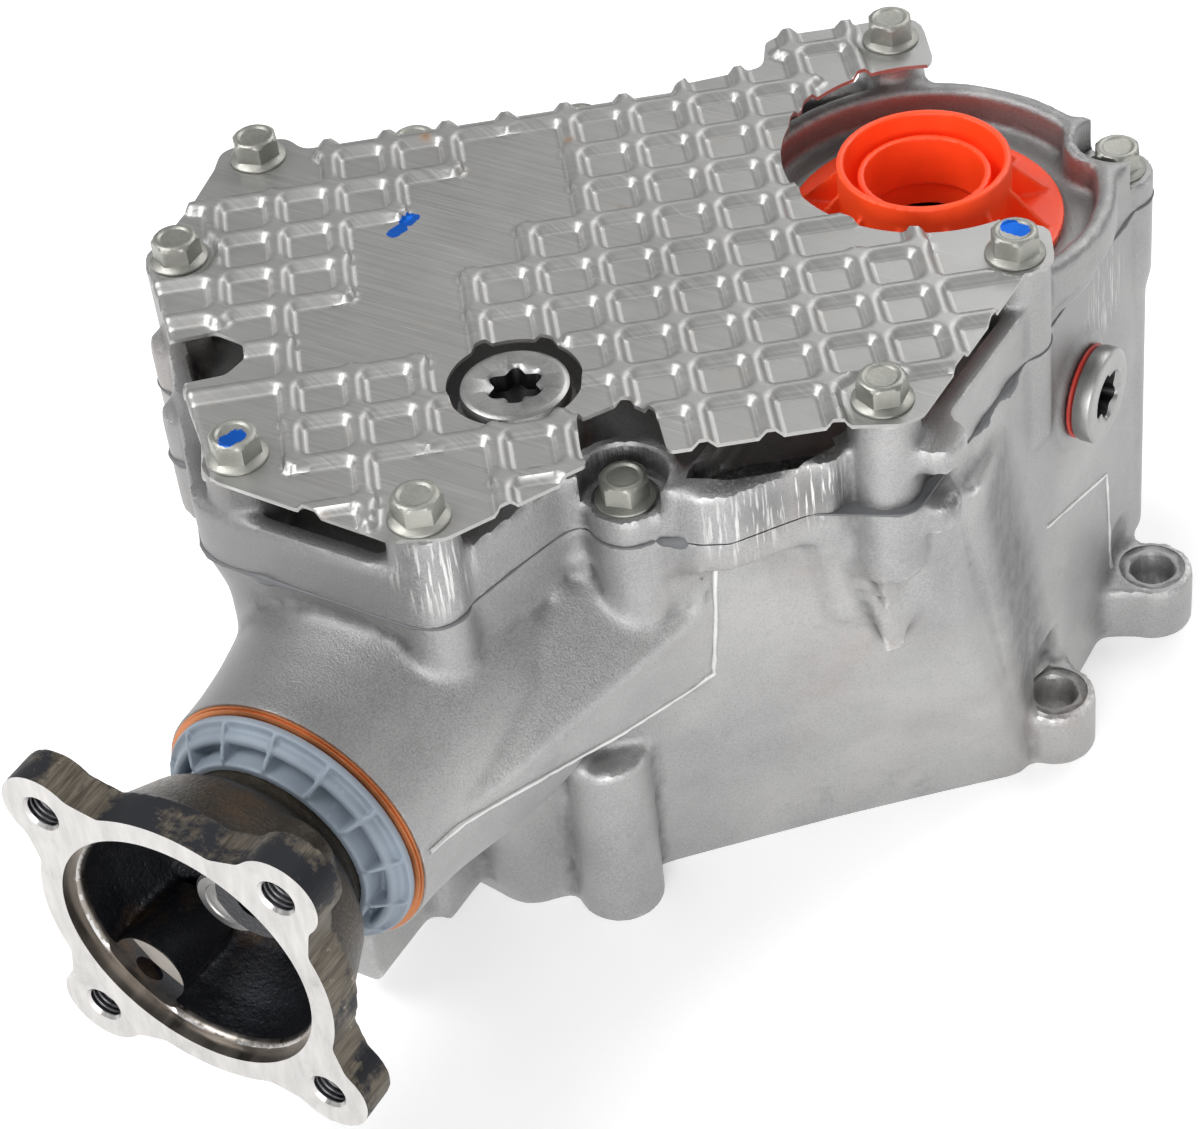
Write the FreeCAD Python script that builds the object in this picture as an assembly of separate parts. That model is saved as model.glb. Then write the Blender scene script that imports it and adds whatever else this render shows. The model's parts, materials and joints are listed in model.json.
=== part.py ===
import FreeCAD, Part
import math
import os
from FreeCAD import Vector

# Power transfer unit, in millimetres.
# The origin is on the input axis, in the plane that meets the transaxle.
# +Z is up through the heat shield and the output flange faces -Y.

# Heights
parting_z = 150.0
floor_thickness = 8.0
shield_top_z = 181.0
shield_sheet = 1.2
cover_plate = 8.0
rim_top_z = 168.0
input_rim_top_z = 171.0
boss_foot_z = 121.0
cover_seat_z = 159.0
seal_line = 0.5

# Walls
case_wall = 6.0
rim_wall = 6.0

# Shield grid
grid_pitch = 18.0
grid_across = 0.8
grid_along = 0.6
grid_origin_u = 6.537
grid_origin_v = 3.62
rib_width = 5.6
rib_height = 2.4
lobe_radius = 12.0
sight_radius = 42.8
fill_hole_radius = 18.9
notch_radius = 11.5
left_notch_radius = 9.5

# Bolts
bolt_thread = 4.0
bolt_clearance = 0.4
thread_gap = 0.03
bolt_flange_radius = 8.6
bolt_flange_height = 1.8
bolt_hex_across = 12.6
bolt_hex_height = 6.4
boss_radius = 10.0
cover_boss_radius = 10.8
pocket_radius = 12.2
pocket_wall = 4.0
right_column_radius = 9.3
bolt_grip = 22.0

# Shafts and their places
transfer_x = -77.0
transfer_y = -95.0
pinion_z = 97.0
flange_face_y = -292.0
neck_end_y = -239.0
neck_web_y = -220.0
neck_web_x = -84.0
neck_web_width = 14.0
neck_web_foot = 8.0
neck_web_top = 66.0

# Gears
spur_module = 2.25
spur_pressure = 20.0
spur_backlash = 0.30
gear_low_z = 36.0
gear_face = 22.0
input_teeth = 32
idler_teeth = 26
driven_teeth = 30
ring_teeth = 43
pinion_teeth = 15
ring_radius = 48.0
bevel_face = 14.0
bevel_pressure = 25.0
bevel_backlash = 0.36
bevel_ring_addendum = 0.65
bevel_pinion_addendum = 1.0
bevel_root_gap = 0.25

# Fits
press_gap = 0.02
running_gap = 0.08
seat_gap = 0.05

# Input shaft
input_bore = 17.0
input_seat_radius = 25.0
input_shoulder_radius = 28.0
input_high_z = 149.0
spline_teeth = 24
spline_depth = 1.6
spline_length = 30.0

# Bearings
input_bearing_radius = 37.5
input_bearing_width = 16.0
input_bearing_low_z = 14.0
input_bearing_high_z = 132.0
transfer_seat_radius = 15.0
transfer_bearing_radius = 31.0
transfer_bearing_width = 18.0
transfer_low_z = 10.0
transfer_high_z = 130.0
pinion_head_seat = 17.5
pinion_head_bearing_radius = 36.0
pinion_head_bearing_width = 22.0
pinion_head_y = -149.0
pinion_tail_seat = 15.0
pinion_tail_bearing_radius = 31.0
pinion_tail_bearing_width = 18.0
pinion_tail_y = -206.0
ring_wall = 3.6
hub_wall = 5.0

# Idler
idler_pin_radius = 9.0
idler_needle_radius = 1.5
idler_needle_count = 18
idler_hub_wall = 6.0

# Seals and plugs
input_seal_radius = 34.0
input_seal_lip = 22.0
case_seal_radius = 36.0
seal_thickness = 8.0
pilot_radius = 40.0
pilot_depth = 5.0
input_low_z = pilot_depth + 0.5
face_ring_radius = 46.0
face_ring_section = 1.6
fill_plug_radius = 15.4
fill_plug_thread = 11.0
fill_plug_head = 6.0
fill_plug_x = -57.5
fill_plug_y = -137.0
fill_seat_z = 173.0
fill_boss_radius = 17.5
drain_plug_y = -4.0
drain_plug_z = 114.0
drain_plug_radius = 14.5
drain_seat_x = 52.5
plug_seal_thickness = 1.5
plug_thread_length = 14.0

# Shipping plug
plug_rim_radius = 25.5
plug_wall = 2.2
plug_flange_radius = 40.5
plug_flange_thickness = 2.5
plug_bore = 17.5
plug_ribs = 12
sight_floor_z = 160.0
sight_recess_radius = 42.0
sight_ledge = 8.0
input_rim_radius = 56.0

# Output flange
bolt_circle_radius = 53.0
flange_thickness = 12.0
flange_ear_radius = 12.6
flange_web_radius = 46.5
flange_pilot_radius = 39.5
flange_cup_radius = 36.0
cup_wall = 5.5
cup_floor_y = -254.0
hub_radius = 22.0
flange_turn = 1.6
flange_thread_radius = 5.0
flange_stem_radius = 13.5
nut_thread_radius = 9.0
dust_ring_radius = 38.4
dust_ring_bore = 28.0
dust_ring_width = 12.0
dust_rim_height = 5.0
dust_ring_ribs = 14
neck_ring_lip = 1.4
neck_ring_wall = 4.8
copper_ring_width = 1.6
neck_end_radius = dust_ring_radius + neck_ring_lip + 1.7

# Ears
ear_radius = 13.0
ear_height = 19.5
ear_bore = 6.85
ear_web_reach = 0.62
ears = ((56.5, -36.0), (62.0, 29.0), (-42.0, 70.0), (-122.0, 6.0))

# Bolt places
shield_bolts_at = (
    (-185.5, -74.5), (-178.0, -126.5), (-110.5, -194.0), (-51.5, -195.5),
    (38.0, -104.5), (43.5, -32.0), (-36.5, 53.0),
)
right_bolt_at = (41.5, 45.0)
cover_bolts_at = ((-20.0, -145.5), right_bolt_at, (-160.0, -30.0), (-118.0, -0.5))
dowels_at = ((-177.0, -100.0), (43.0, -72.0))
dowel_radius = 4.0
dowel_boss_radius = 7.5
side_lugs_at = ((-171.0, -141.0), (-149.0, -166.0))
side_lug_radius = 9.0
bottom_boss_x = -35.0
bottom_boss_y = -150.0
bottom_boss_radius = 13.0
bottom_boss_top = 62.0

# Ribs in the cover's recess, as two plan points each
cover_rib_width = 5.0
cover_ribs = (
    ((-37.0, 53.0), (-60.0, -10.0)), ((-178.0, -126.0), (-115.0, -110.0)),
    ((-185.0, -74.0), (-112.0, -85.0)), ((-110.0, -194.0), (-85.0, -132.0)),
    ((38.0, -104.0), (12.0, -52.0)), ((-4.0, -140.0), (-8.0, -52.0)),
)

# Case outline at the parting plane, anticlockwise, as x, y and corner radius
top_outline = (
    (50.0, -112.0, 8.0), (50.0, 50.0, 14.0), (-28.0, 56.0, 14.0), (-70.0, 31.0, 10.0),
    (-187.0, -58.0, 14.0), (-184.0, -132.0, 16.0), (-120.0, -206.0, 18.0),
    (-46.0, -206.0, 10.0), (-33.0, -152.0, 10.0), (-4.0, -148.0, 10.0), (10.0, -129.0, 12.0),
)
# The same corners where the case meets the transaxle
base_outline = (
    (55.0, -54.0, 8.0), (50.0, 50.0, 14.0), (-28.0, 56.0, 14.0), (-70.0, 31.0, 10.0),
    (-152.0, -35.0, 14.0), (-150.0, -108.0, 16.0), (-112.0, -160.0, 18.0),
    (-58.0, -168.0, 10.0), (-42.0, -152.0, 6.0), (-28.0, -134.0, 8.0), (12.0, -94.0, 10.0),
)


def polar(radius, degrees):
    angle = math.radians(degrees)
    return radius * math.cos(angle), radius * math.sin(angle)


def on_grid(u, v):
    """Turns a place on the shield grid into x and y."""
    du = (u - grid_origin_u) * grid_pitch
    dv = (v - grid_origin_v) * grid_pitch
    return grid_across * du + grid_along * dv, grid_along * du - grid_across * dv


def rod(radius, low, high, x=0.0, y=0.0):
    return Part.makeCylinder(radius, high - low, Vector(x, y, low))


def pipe(outer, inner, low, high, x=0.0, y=0.0):
    return rod(outer, low, high, x, y).cut(rod(inner, low - 1.0, high + 1.0, x, y))


def fuse(shapes):
    first = shapes[0]
    if len(shapes) == 1:
        return first
    return first.multiFuse(list(shapes[1:])).removeSplitter()


def cut(shape, tools):
    return shape.cut(list(tools))


def turned(profile):
    """Spins a closed profile of (radius, height) about the Z axis."""
    points = [Vector(r, 0.0, z) for r, z in profile]
    face = Part.Face(Part.makePolygon(points + points[:1]))
    return face.revolve(Vector(0, 0, 0), Vector(0, 0, 1), 360.0)


def on_pinion_axis(shape):
    """Lays a shape built along +Z onto the pinion axis, where its Z becomes -Y."""
    placed = shape.copy()
    placed.rotate(Vector(0, 0, 0), Vector(1, 0, 0), 90.0)
    placed.translate(Vector(transfer_x, 0.0, pinion_z))
    return placed


def moved(shape, x, y, z=0.0):
    placed = shape.copy()
    placed.translate(Vector(x, y, z))
    return placed


def rounded_wire(corners, z):
    """Closes straight runs and tangent arcs through (x, y, radius) corners."""
    edges = []
    starts = []
    ends = []
    middles = []
    count = len(corners)
    for i in range(count):
        x, y, radius = corners[i]
        here = Vector(x, y, z)
        before = Vector(corners[i - 1][0], corners[i - 1][1], z) - here
        after = Vector(corners[(i + 1) % count][0], corners[(i + 1) % count][1], z) - here
        before.normalize()
        after.normalize()
        half = before.getAngle(after) / 2.0
        reach = radius / math.tan(half)
        inward = before + after
        inward.normalize()
        centre = here + inward * (radius / math.sin(half))
        starts.append(here + before * reach)
        ends.append(here + after * reach)
        middles.append(centre - inward * radius)
    for i in range(count):
        edges.append(Part.Arc(starts[i], middles[i], ends[i]).toShape())
        edges.append(Part.makeLine(ends[i], starts[(i + 1) % count]))
    return Part.Wire(edges)


def inset(corners, distance):
    """Moves every side of an anticlockwise outline inward by a distance."""
    count = len(corners)
    result = []
    for i in range(count):
        x, y, radius = corners[i]
        ax, ay = x - corners[i - 1][0], y - corners[i - 1][1]
        bx, by = corners[(i + 1) % count][0] - x, corners[(i + 1) % count][1] - y
        la, lb = math.hypot(ax, ay), math.hypot(bx, by)
        nax, nay = -ay / la, ax / la
        nbx, nby = -by / lb, bx / lb
        scale = distance / (1.0 + nax * nbx + nay * nby)
        turn = ax * by - ay * bx
        new_radius = radius - distance if turn > 0 else radius + distance
        result.append((x + (nax + nbx) * scale, y + (nay + nby) * scale, max(new_radius, 2.0)))
    return result


def prism(corners, low, high):
    return Part.Face(rounded_wire(corners, low)).extrude(Vector(0, 0, high - low))


def outline_at(z):
    """Blends the two case outlines at a height."""
    share = z / parting_z
    blended = []
    for top, base in zip(top_outline, base_outline):
        blended.append(tuple(b + (t - b) * share for t, b in zip(top, base)))
    return blended


def tapered(distance, low, high):
    """A solid between the inset case outlines at two heights."""
    wires = [rounded_wire(inset(outline_at(z), distance), z) for z in (low, high)]
    return Part.makeLoft(wires, True, True)


def box(x0, y0, z0, x1, y1, z1):
    return Part.makeBox(x1 - x0, y1 - y0, z1 - z0, Vector(x0, y0, z0))


def bar(start, end, width, low, high):
    """A straight upright rib between two plan points."""
    length = math.hypot(end[0] - start[0], end[1] - start[1])
    shape = Part.makeBox(length, width, high - low, Vector(0, -width / 2.0, low))
    turn = math.degrees(math.atan2(end[1] - start[1], end[0] - start[0]))
    shape.rotate(Vector(0, 0, 0), Vector(0, 0, 1), turn)
    shape.translate(Vector(start[0], start[1], 0.0))
    return shape


def hexagon(across, low, high, x=0.0, y=0.0):
    points = [Vector(*polar(across / math.sqrt(3.0), 60.0 * i + 30.0), low) for i in range(7)]
    shape = Part.Face(Part.makePolygon(points)).extrude(Vector(0, 0, high - low))
    return moved(shape, x, y)


def flange_bolt(x, y, seat_z, length):
    """A hexagon bolt with its own washer face, threaded down from its seat."""
    head_z = seat_z + bolt_flange_height
    washer = Part.makeCone(bolt_flange_radius, bolt_flange_radius - 1.6, bolt_flange_height,
                           Vector(x, y, seat_z))
    hexa = hexagon(bolt_hex_across, head_z - 0.4, head_z + bolt_hex_height, x, y)
    crown = Part.makeCone(bolt_hex_across * 0.64, bolt_hex_across * 0.44, bolt_hex_height + 2.0,
                          Vector(x, y, head_z - 0.6))
    head = hexa.common(crown)
    dish = Part.makeCone(bolt_hex_across * 0.22, bolt_hex_across * 0.36, 0.8,
                         Vector(x, y, head_z + bolt_hex_height - 0.75))
    shank = rod(bolt_thread, seat_z - length, seat_z + 0.5, x, y)
    return fuse([washer, head.cut(dish), shank])


def involute_flank(base, root, tip, steps=6):
    """Points (radius, turn) up one flank, where turn is the involute angle in radians."""
    low = max(base, root)
    points = []
    for i in range(steps + 1):
        radius = low + (tip - low) * i / steps
        roll = math.sqrt(max((radius / base) ** 2 - 1.0, 0.0))
        points.append((radius, roll - math.atan(roll)))
    return points


def spur_gear(teeth, bore, low, high, phase):
    """A straight-cut involute gear with one tooth centred at the phase angle in degrees."""
    pitch = spur_module * teeth / 2.0
    base = pitch * math.cos(math.radians(spur_pressure))
    tip = pitch + spur_module
    root = pitch - 1.25 * spur_module
    roll = math.tan(math.radians(spur_pressure))
    half = math.pi / (2.0 * teeth) - spur_backlash / (4.0 * pitch) + roll - math.atan(roll)
    flank = involute_flank(base, root, tip)
    edges = []
    step = 2.0 * math.pi / teeth

    def at(radius, angle):
        return Vector(radius * math.cos(angle), radius * math.sin(angle), low)

    for i in range(teeth):
        centre = math.radians(phase) + i * step
        rise = [at(r, centre - half + turn) for r, turn in flank]
        fall = [at(r, centre + half - turn) for r, turn in reversed(flank)]
        if root < base:
            edges.append(Part.makeLine(at(root, centre - half), rise[0]))
        curve = Part.BSplineCurve()
        curve.interpolate(rise)
        edges.append(curve.toShape())
        edges.append(Part.Arc(rise[-1], at(tip, centre), fall[0]).toShape())
        curve = Part.BSplineCurve()
        curve.interpolate(fall)
        edges.append(curve.toShape())
        if root < base:
            edges.append(Part.makeLine(fall[-1], at(root, centre + half)))
        valley = at(root, centre + step / 2.0)
        last = at(root, centre + step - half)
        edges.append(Part.Arc(at(root, centre + half), valley, last).toShape())
    blank = Part.Face(Part.Wire(edges)).extrude(Vector(0, 0, high - low))
    return blank.cut(rod(bore, low - 1.0, high + 1.0))


def bevel_tooth(teeth, mate_teeth, addendum, phase):
    """One straight bevel tooth, its apex at the origin and its cone opening along +Z."""
    module = 2.0 * ring_radius / ring_teeth
    radius = module * teeth / 2.0
    cone = math.atan2(teeth, mate_teeth)
    reach = radius / math.sin(cone)
    total = bevel_ring_addendum + bevel_pinion_addendum + bevel_root_gap
    virtual = radius / math.cos(cone)
    base = virtual * math.cos(math.radians(bevel_pressure))
    tip = virtual + addendum * module
    root = virtual - (total - addendum) * module
    roll = math.tan(math.radians(bevel_pressure))
    half = module * math.pi / 4.0 / virtual - bevel_backlash / (4.0 * virtual)
    half += roll - math.atan(roll)
    flank = involute_flank(base, root, tip, 4)
    sunk = root - 0.9
    foot = half + 0.004
    rise = [(r, -(half - turn)) for r, turn in flank]
    fall = [(r, half - turn) for r, turn in reversed(flank)]
    outline = [(sunk, -foot)] + rise + fall + [(sunk, foot)]
    wires = []
    for share in (1.0 + 0.004, (reach - bevel_face) / reach):
        points = []
        for r, turn in outline:
            out = r * math.cos(turn) - virtual
            across = r * math.sin(turn)
            x = radius + out * math.cos(cone)
            z = reach * math.cos(cone) - out * math.sin(cone)
            points.append(Vector(x * share, across * share, z * share))
        wires.append(Part.makePolygon(points + points[:1]))
    tooth = Part.makeLoft(wires, True, True)
    tooth.rotate(Vector(0, 0, 0), Vector(0, 0, 1), phase)
    return tooth


def bevel_gear(teeth, mate_teeth, addendum, blank_tail, phase):
    """Teeth on a root cone; blank_tail closes the blank behind it as (radius, z) points."""
    module = 2.0 * ring_radius / ring_teeth
    radius = module * teeth / 2.0
    cone = math.atan2(teeth, mate_teeth)
    reach = radius / math.sin(cone)
    total = bevel_ring_addendum + bevel_pinion_addendum + bevel_root_gap
    depth = (total - addendum) * module
    outer = (radius - depth * math.cos(cone), reach * math.cos(cone) + depth * math.sin(cone))
    share = (reach - bevel_face) / reach
    inner = (outer[0] * share, outer[1] * share)
    blank = turned([inner, outer] + blank_tail)
    teeth_shapes = []
    for i in range(teeth):
        teeth_shapes.append(bevel_tooth(teeth, mate_teeth, addendum, phase + 360.0 * i / teeth))
    return blank.multiFuse(teeth_shapes)


def ball_bearing(bore, outer, width, count):
    """Inner ring, outer ring and balls along +Z from zero."""
    middle = (bore + outer) / 2.0
    ball = min(width * 0.36, (outer - bore) / 2.0 - ring_wall + 1.0)
    groove = Part.makeTorus(middle, ball + seat_gap, Vector(0, 0, width / 2.0))
    inner = pipe(bore + ring_wall + 1.0, bore + press_gap, 0.0, width).cut(groove)
    outside = pipe(outer - press_gap, outer - ring_wall - 1.0, 0.0, width).cut(groove)
    balls = []
    for i in range(count):
        x, y = polar(middle, 360.0 * i / count)
        balls.append(Part.makeSphere(ball, Vector(x, y, width / 2.0)))
    return inner, outside, balls


def taper_bearing(bore, outer, width, count):
    """Cone, cup and tapered rollers along +Z from zero, the large end at the top."""
    tilt = math.radians(14.0)
    roller = outer - bore - 2.0 * ring_wall
    middle = (bore + outer) / 2.0
    reach = middle / math.sin(tilt)
    spread = math.atan2(roller / 2.0, reach)
    length = width * 0.62
    apex_z = width / 2.0 - reach * math.cos(tilt)

    def on_cone(angle, distance, lift):
        r = distance * math.sin(angle) + lift * math.cos(angle)
        return r, apex_z + distance * math.cos(angle) - lift * math.sin(angle)

    near, far = reach - length, reach + length
    inside = [on_cone(tilt - spread, d, -seat_gap) for d in (near, far)]
    race = turned([(bore + press_gap, apex_z), inside[0], inside[1],
                   (bore + press_gap, inside[1][1])])
    cone = race.common(rod(outer, 0.0, width))
    outside = [on_cone(tilt + spread, d, seat_gap) for d in (near, far)]
    shell = rod(outer - press_gap, 0.0, width)
    cup = shell.cut(turned([(0.0, outside[0][1]), outside[0], outside[1], (0.0, outside[1][1])]))
    rollers = []
    small, large = reach - length / 2.0, reach + length / 2.0
    for i in range(count):
        pin = Part.makeCone(small * math.tan(spread), large * math.tan(spread), length,
                            Vector(0, 0, small))
        pin.rotate(Vector(0, 0, 0), Vector(0, 1, 0), math.degrees(tilt))
        pin.translate(Vector(0, 0, apex_z))
        pin.rotate(Vector(0, 0, 0), Vector(0, 0, 1), 360.0 * i / count)
        rollers.append(pin)
    return cone, cup, rollers


def lip_seal(outer, lip, low):
    """A radial shaft seal: a shell, a waist and a lip with a running gap."""
    high = low + seal_thickness
    bore = lip + running_gap
    profile = [(outer - seat_gap, low), (outer - seat_gap, high), (bore + 3.0, high),
               (bore + 3.0, high - 2.0), (bore + 1.2, high - 3.5), (bore, high - 4.4),
               (bore + 1.6, low + 1.6), (bore + 1.6, low)]
    return turned(profile)


def drive_plug(radius, head, thread):
    """A screw plug along +Z: thread below zero, round head above it, lobed socket."""
    body = fuse([rod(radius, 0.0, head - 1.0), rod(thread - thread_gap, -plug_thread_length, 0.5),
                 Part.makeCone(radius, radius - 1.0, 1.0, Vector(0, 0, head - 1.0))])
    socket = [rod(thread * 0.56, head - 5.0, head + 1.0)]
    for i in range(6):
        x, y = polar(thread * 0.56, 60.0 * i)
        socket.append(rod(thread * 0.13, head - 5.0, head + 1.0, x, y))
    return cut(body, socket)


# Idler place, in mesh with the gears on both sides
input_pitch = spur_module * input_teeth / 2.0
idler_pitch = spur_module * idler_teeth / 2.0
driven_pitch = spur_module * driven_teeth / 2.0
shaft_span = math.hypot(transfer_x, transfer_y)
first_centres = input_pitch + idler_pitch
second_centres = idler_pitch + driven_pitch
idler_along = (first_centres ** 2 - second_centres ** 2 + shaft_span ** 2) / (2.0 * shaft_span)
idler_aside = math.sqrt(first_centres ** 2 - idler_along ** 2)
line_x, line_y = transfer_x / shaft_span, transfer_y / shaft_span
idler_x = line_x * idler_along + line_y * idler_aside
idler_y = line_y * idler_along - line_x * idler_aside

# Tooth phases in degrees, so that each tooth meets a space
input_phase = math.degrees(math.atan2(idler_y, idler_x))
idler_phase = input_phase + 180.0 + 180.0 / idler_teeth
driven_way = math.degrees(math.atan2(transfer_y - idler_y, transfer_x - idler_x))
idler_step = 360.0 / idler_teeth
idler_offset = (idler_phase - driven_way) % idler_step
driven_phase = driven_way + 180.0 - idler_offset * idler_teeth / driven_teeth + 180.0 / driven_teeth

# Bevel set
bevel_module = 2.0 * ring_radius / ring_teeth
ring_cone = math.atan2(ring_teeth, pinion_teeth)
cone_reach = ring_radius / math.sin(ring_cone)
ring_pitch_z = pinion_z - cone_reach * math.cos(ring_cone)
pinion_pitch_radius = bevel_module * pinion_teeth / 2.0
ring_back_z = ring_pitch_z - 14.0


def neck_body():
    """The flared neck round the pinion, built along +Z, where Z is the distance to -Y."""
    end = -neck_end_y
    wide = neck_end_radius + 10.0
    profile = [(0.0, 120.0), (wide, 120.0), (wide, 172.0), (wide - 1.5, 186.0),
               (neck_end_radius + 5.0, 202.0), (neck_end_radius + 2.0, 216.0),
               (neck_end_radius + 0.5, 228.0), (neck_end_radius, end), (0.0, end)]
    return on_pinion_axis(turned(profile))


def pinion_tunnel():
    """Everything that is bored out along the pinion axis."""
    head_low = -pinion_head_y
    tail_low = -pinion_tail_y
    tail_high = tail_low + pinion_tail_bearing_width
    end = -neck_end_y
    parts = [
        rod(pinion_head_bearing_radius, 120.0, head_low + pinion_head_bearing_width),
        rod(pinion_head_bearing_radius - 4.5, head_low, tail_low - 5.0),
        rod(pinion_tail_bearing_radius - 3.0, head_low, tail_high),
        rod(pinion_tail_bearing_radius, tail_low, end + 1.0),
    ]
    return on_pinion_axis(fuse(parts))


def main_case():
    solids = [tapered(0.0, 0.0, parting_z), neck_body()]
    head_hub = on_pinion_axis(rod(pinion_head_bearing_radius + 8.0, -pinion_head_y + 1.0, 200.0))
    for x, y in shield_bolts_at:
        solids.append(rod(boss_radius, boss_foot_z, parting_z, x, y))
        solids.append(moved(Part.makeCone(3.0, boss_radius - 1.5, 34.0), x, y, boss_foot_z - 33.0))
    for x, y in cover_bolts_at:
        solids.append(rod(cover_boss_radius, boss_foot_z, parting_z, x, y))
    for x, y in side_lugs_at:
        solids.append(rod(side_lug_radius, boss_foot_z + 8.0, parting_z, x, y))
    for x, y in ears:
        solids.append(rod(ear_radius, 0.0, ear_height, x, y))
        solids.append(bar((x, y), (x * ear_web_reach, y * ear_web_reach), 2.0 * ear_radius - 2.0,
                          0.0, ear_height))
    solids.append(rod(right_column_radius, ear_height - 1.0, boss_foot_z + 1.0, *right_bolt_at))
    solids.append(rod(bottom_boss_radius, 0.0, bottom_boss_top, bottom_boss_x, bottom_boss_y))
    solids.append(bar((neck_web_x, bottom_boss_y), (neck_web_x, neck_web_y), neck_web_width,
                      neck_web_foot, neck_web_top))
    case = fuse(solids)
    above = box(-400.0, -400.0, parting_z, 400.0, 400.0, parting_z + 200.0)
    cavity = tapered(case_wall, floor_thickness, parting_z + 1.0)
    inside = [head_hub.common(cavity)]
    floor_hubs = [
        rod(input_bearing_radius + 7.0, 1.0, input_bearing_low_z + input_bearing_width + 1.0),
        rod(transfer_bearing_radius + hub_wall, 1.0, transfer_low_z + transfer_bearing_width,
            transfer_x, transfer_y),
        rod(idler_pin_radius + idler_hub_wall, 1.0, gear_low_z - 2.0, idler_x, idler_y),
    ]
    for x, y in shield_bolts_at + cover_bolts_at:
        inside.append(rod(boss_radius, boss_foot_z - 4.0, parting_z, x, y))
    for x, y in dowels_at:
        inside.append(rod(dowel_boss_radius, boss_foot_z, parting_z, x, y))
    case = case.cut(cavity)
    web = bar((transfer_x, pinion_head_y - 8.0), (transfer_x, pinion_head_y - 40.0), 12.0,
              floor_thickness - 1.0, bottom_boss_top)
    case = fuse([case, web] + inside + floor_hubs)
    bores = [above, pinion_tunnel()]
    bores.append(rod(input_bearing_radius, input_bearing_low_z,
                     input_bearing_low_z + input_bearing_width + 3.0))
    bores.append(rod(case_seal_radius, pilot_depth, input_bearing_low_z + 1.0))
    bores.append(rod(pilot_radius, -1.0, pilot_depth))
    bores.append(rod(transfer_bearing_radius, transfer_low_z, transfer_low_z + transfer_bearing_width + 1.0,
                     transfer_x, transfer_y))
    bores.append(rod(idler_pin_radius, 4.0, gear_low_z, idler_x, idler_y))
    bores.append(Part.makeTorus(face_ring_radius, face_ring_section + 0.1, Vector(0, 0, 0)))
    for x, y in shield_bolts_at:
        bores.append(rod(bolt_thread + thread_gap, boss_foot_z + 4.0, parting_z + 1.0, x, y))
    for x, y in cover_bolts_at:
        bores.append(rod(bolt_thread + thread_gap, boss_foot_z + 8.0, parting_z + 1.0, x, y))
    for x, y in dowels_at:
        bores.append(rod(dowel_radius + thread_gap, parting_z - 9.0, parting_z + 1.0, x, y))
    for x, y in ears:
        bores.append(rod(ear_bore, -1.0, ear_height + 1.0, x, y))
        bores.append(rod(ear_radius + 0.5, ear_height, ear_height + 16.0, x, y))
    return fuse_drain_boss(cut(case, bores))


def along_x(shape, x, y, z):
    """Turns a shape built along +Z to point along +X at a place."""
    placed = shape.copy()
    placed.rotate(Vector(0, 0, 0), Vector(0, 1, 0), 90.0)
    placed.translate(Vector(x, y, z))
    return placed


def fuse_drain_boss(case):
    boss = along_x(rod(drain_plug_radius + 1.5, -8.0, 0.0), drain_seat_x, drain_plug_y, drain_plug_z)
    hole = along_x(rod(fill_plug_thread, -20.0, 1.0), drain_seat_x, drain_plug_y, drain_plug_z)
    return fuse([case, boss]).cut(hole)


def sealant():
    outer = prism(top_outline, parting_z, parting_z + seal_line)
    hole = prism(inset(top_outline, case_wall), parting_z - 1.0, parting_z + 2.0)
    lands = []
    for x, y in shield_bolts_at:
        lands.append(rod(boss_radius, parting_z, parting_z + seal_line, x, y))
    for x, y in cover_bolts_at:
        lands.append(rod(cover_boss_radius, parting_z, parting_z + seal_line, x, y))
    for x, y in dowels_at:
        lands.append(rod(dowel_boss_radius, parting_z, parting_z + seal_line, x, y))
    for x, y in side_lugs_at:
        lands.append(rod(side_lug_radius, parting_z, parting_z + seal_line, x, y))
    sheet = fuse([outer.cut(hole)] + lands)
    holes = [rod(bolt_thread + bolt_clearance, parting_z - 1.0, parting_z + 2.0, x, y)
             for x, y in shield_bolts_at + cover_bolts_at]
    holes += [rod(dowel_radius + 0.3, parting_z - 1.0, parting_z + 2.0, x, y) for x, y in dowels_at]
    return cut(sheet, holes)


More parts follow.
